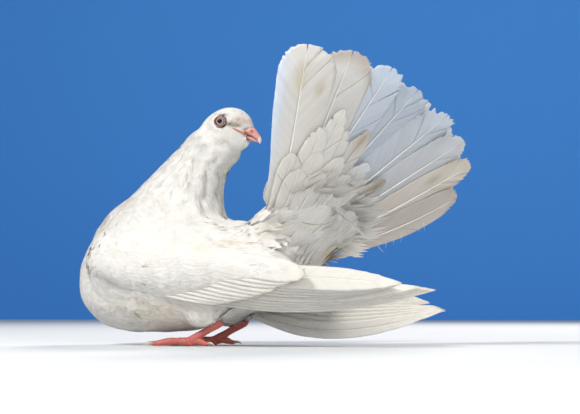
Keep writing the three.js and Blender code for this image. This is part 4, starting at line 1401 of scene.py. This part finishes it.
def scaled_limb(pile, line, radii, scute, colour, sides=16):
    """A limb with raised plates that overlap along it, scute long each."""
    length = np.append(0, np.cumsum(np.linalg.norm(np.diff(line, axis=0), axis=1)))
    step = np.mod(length / scute, 1)
    rings = tube_rings(line, radii, sides)
    turn = (np.arange(sides) + 0.5) / sides * 2 * math.pi
    plate = 0.16 * step[:, None] ** 2 * np.clip(np.abs(np.sin(turn)) + 0.2, 0, 1)
    middle = line[:, None]
    rings = middle + (rings - middle) * (1 + plate[..., None])
    rings[..., 2] = np.maximum(rings[..., 2], 0.02)
    # Painted shade: each plate is darker where it starts, under the edge of the plate before it
    plate_crease_shade = mix(0.72, 1.05, ease(step, 0.0, 0.35))
    tint = np.repeat(colour[None] * plate_crease_shade[:, None], sides, 0)
    pile.add(rings, loft_faces(len(line), sides), tint)


def leg(side, word):
    """A bent shank and its four toes."""
    pile = Pile()
    red = linear("b25d56")
    ankle = np.array([FOOT[0] + 20, side * (FOOT[1] + 1), 15.0])
    foot = FOOT * [1, side, 1]
    keys = np.array([ankle + [1.5, 0, 1.5], ankle, mix(ankle, foot, 0.5), foot, foot - [2, 0, 0.6]])
    radii = np.array([2.3, 2.9, 2.2, 3.0, 2.4])
    place = np.linspace(0, len(keys) - 1, 64)
    scaled_limb(pile, through(keys, place), through(radii[:, None], place)[:, 0], SHANK_SCUTE, red)
    t = np.linspace(-0.06, 1, 60)
    keys = np.array([2.0, 2.3, 1.95, 2.1, 1.65, 1.3])[:, None]
    radii = through(keys, np.linspace(0, len(keys) - 1, len(t)))[:, 0]
    for toe in TOES:
        scaled_limb(pile, toe_line(side, toe, t), radii, TOE_SCUTE, red)
    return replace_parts(pile.build("leg_scales_" + word, [leg_scales]), "leg_" + word)


def claw(side, word, number, toe):
    """A short curved claw, pale at its tip, that rests on the floor."""
    pile = Pile()
    way = toe_way(side, toe[0])
    tip = toe_line(side, toe, np.array([1.0]))[0]
    keys = [(-0.6, 1.85), (0.45, 1.95), (2, 2.2), (3.8, 1.75), (5.3, 0.6)]
    keys = np.array([[*(tip + way * forwards)[:2], z] for forwards, z in keys])
    place = np.linspace(0, len(keys) - 1, 24)
    radii = through(np.array([1.1, 1.15, 1.0, 0.7, 0.2])[:, None], place)[:, 0]
    rings = tube_rings(through(keys, place), radii, 12, flat=0.9)
    rings[..., 2] = np.maximum(rings[..., 2], 0.02)
    colour = mix(linear("8a6258"), linear("cdb8a6"), np.linspace(0, 1, 24)[:, None])
    pile.add(rings, loft_faces(24, 12), np.repeat(colour, 12, 0))
    node_name = f"claw_{word}_{number}"
    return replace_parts(pile.build("horn_" + node_name, [claw_keratin]), node_name)


for side, word in ((-1, "left"), (1, "right")):
    leg(side, word)
    for number, toe in enumerate(TOES, 1):
        claw(side, word, number, toe)


# Every new piece rides on the one body

for piece in [o for o in bpy.context.scene.objects if o.type == "MESH"]:
    if piece.name in frame["nodes"] or "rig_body" in piece:
        continue
    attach(piece, "root")


# Floor, backdrop, lights and camera

def plain_stage(name, points, code, roughness):
    mesh = bpy.data.meshes.new(name)
    mesh.from_pydata(points, [], [(0, 1, 2, 3)])
    piece = bpy.data.objects.new(name, mesh)
    bpy.context.scene.collection.objects.link(piece)
    material, tree = start_material(name + "_paint")
    shader = node(tree, "ShaderNodeBsdfPrincipled",
                  {"Base Color": (*linear(code), 1), "Roughness": roughness, "Specular IOR Level": 0.2})
    finish_material(tree, shader)
    mesh.materials.append(material)


plain_stage("floor", [(-4, -4, 0), (4, -4, 0), (4, 4, 0), (-4, 4, 0)], "d9dbdc", 0.8)
plain_stage("backdrop", [(-5, 2.2, -0.5), (3.4, 3.6, -0.5), (3.4, 3.6, 3.5), (-5, 2.2, 3.5)],
            "5aa6f6", 1.0)


def light(name, place, aim, size, power, code, mirrored=True):
    """A square soft light. The eye mirrors only those that say so, or the pupil would be hidden."""
    lamp = bpy.data.lights.new(name, "AREA")
    lamp.size = size
    lamp.energy = power
    lamp.color = linear(code)
    piece = bpy.data.objects.new(name, lamp)
    piece.visible_glossy = mirrored
    piece.location = place
    piece.rotation_euler = (Vector(aim) - Vector(place)).to_track_quat("-Z", "Y").to_euler()
    bpy.context.scene.collection.objects.link(piece)


middle = (0.0, 0.0, 0.08)
light("key", (-0.45, -1.2, 1.15), middle, 0.4, 27, "fffcf6")
light("fill", (1.2, -1.3, 0.35), middle, 1.2, 24, "fff9f2", mirrored=False)
light("behind", (0.2, 1.3, 1.3), middle, 0.8, 26, "fff7ec", mirrored=False)

world = bpy.data.worlds.new("studio")
bpy.context.scene.world = world
world.use_nodes = True
world.node_tree.nodes["Background"].inputs["Color"].default_value = (*linear("c3d3ea"), 1)
world.node_tree.nodes["Background"].inputs["Strength"].default_value = 0.42

# Camera low and to the bird's left, looking slightly up at it
AZIMUTH = math.radians(22)
DISTANCE, CAMERA_HIGH = 850.0, 22.0
AIM = np.array([39.6, 16.0, 92.0])
FRAME_WIDTH, FOCAL = 580, 1279.3  # the focal length in the photograph's pixels
place = AIM + DISTANCE * np.array([math.sin(AZIMUTH), -math.cos(AZIMUTH), 0])
place[2] = CAMERA_HIGH
lens = bpy.data.cameras.new("camera")
lens.sensor_width = 36
lens.lens = 36 * FOCAL / FRAME_WIDTH
camera = bpy.data.objects.new("camera", lens)
camera.location = in_frame(place)
camera.rotation_euler = Vector(AIM - place).to_track_quat("-Z", "Y").to_euler()
bpy.context.scene.collection.objects.link(camera)
bpy.context.scene.camera = camera
bpy.context.scene.view_settings.view_transform = "Standard"
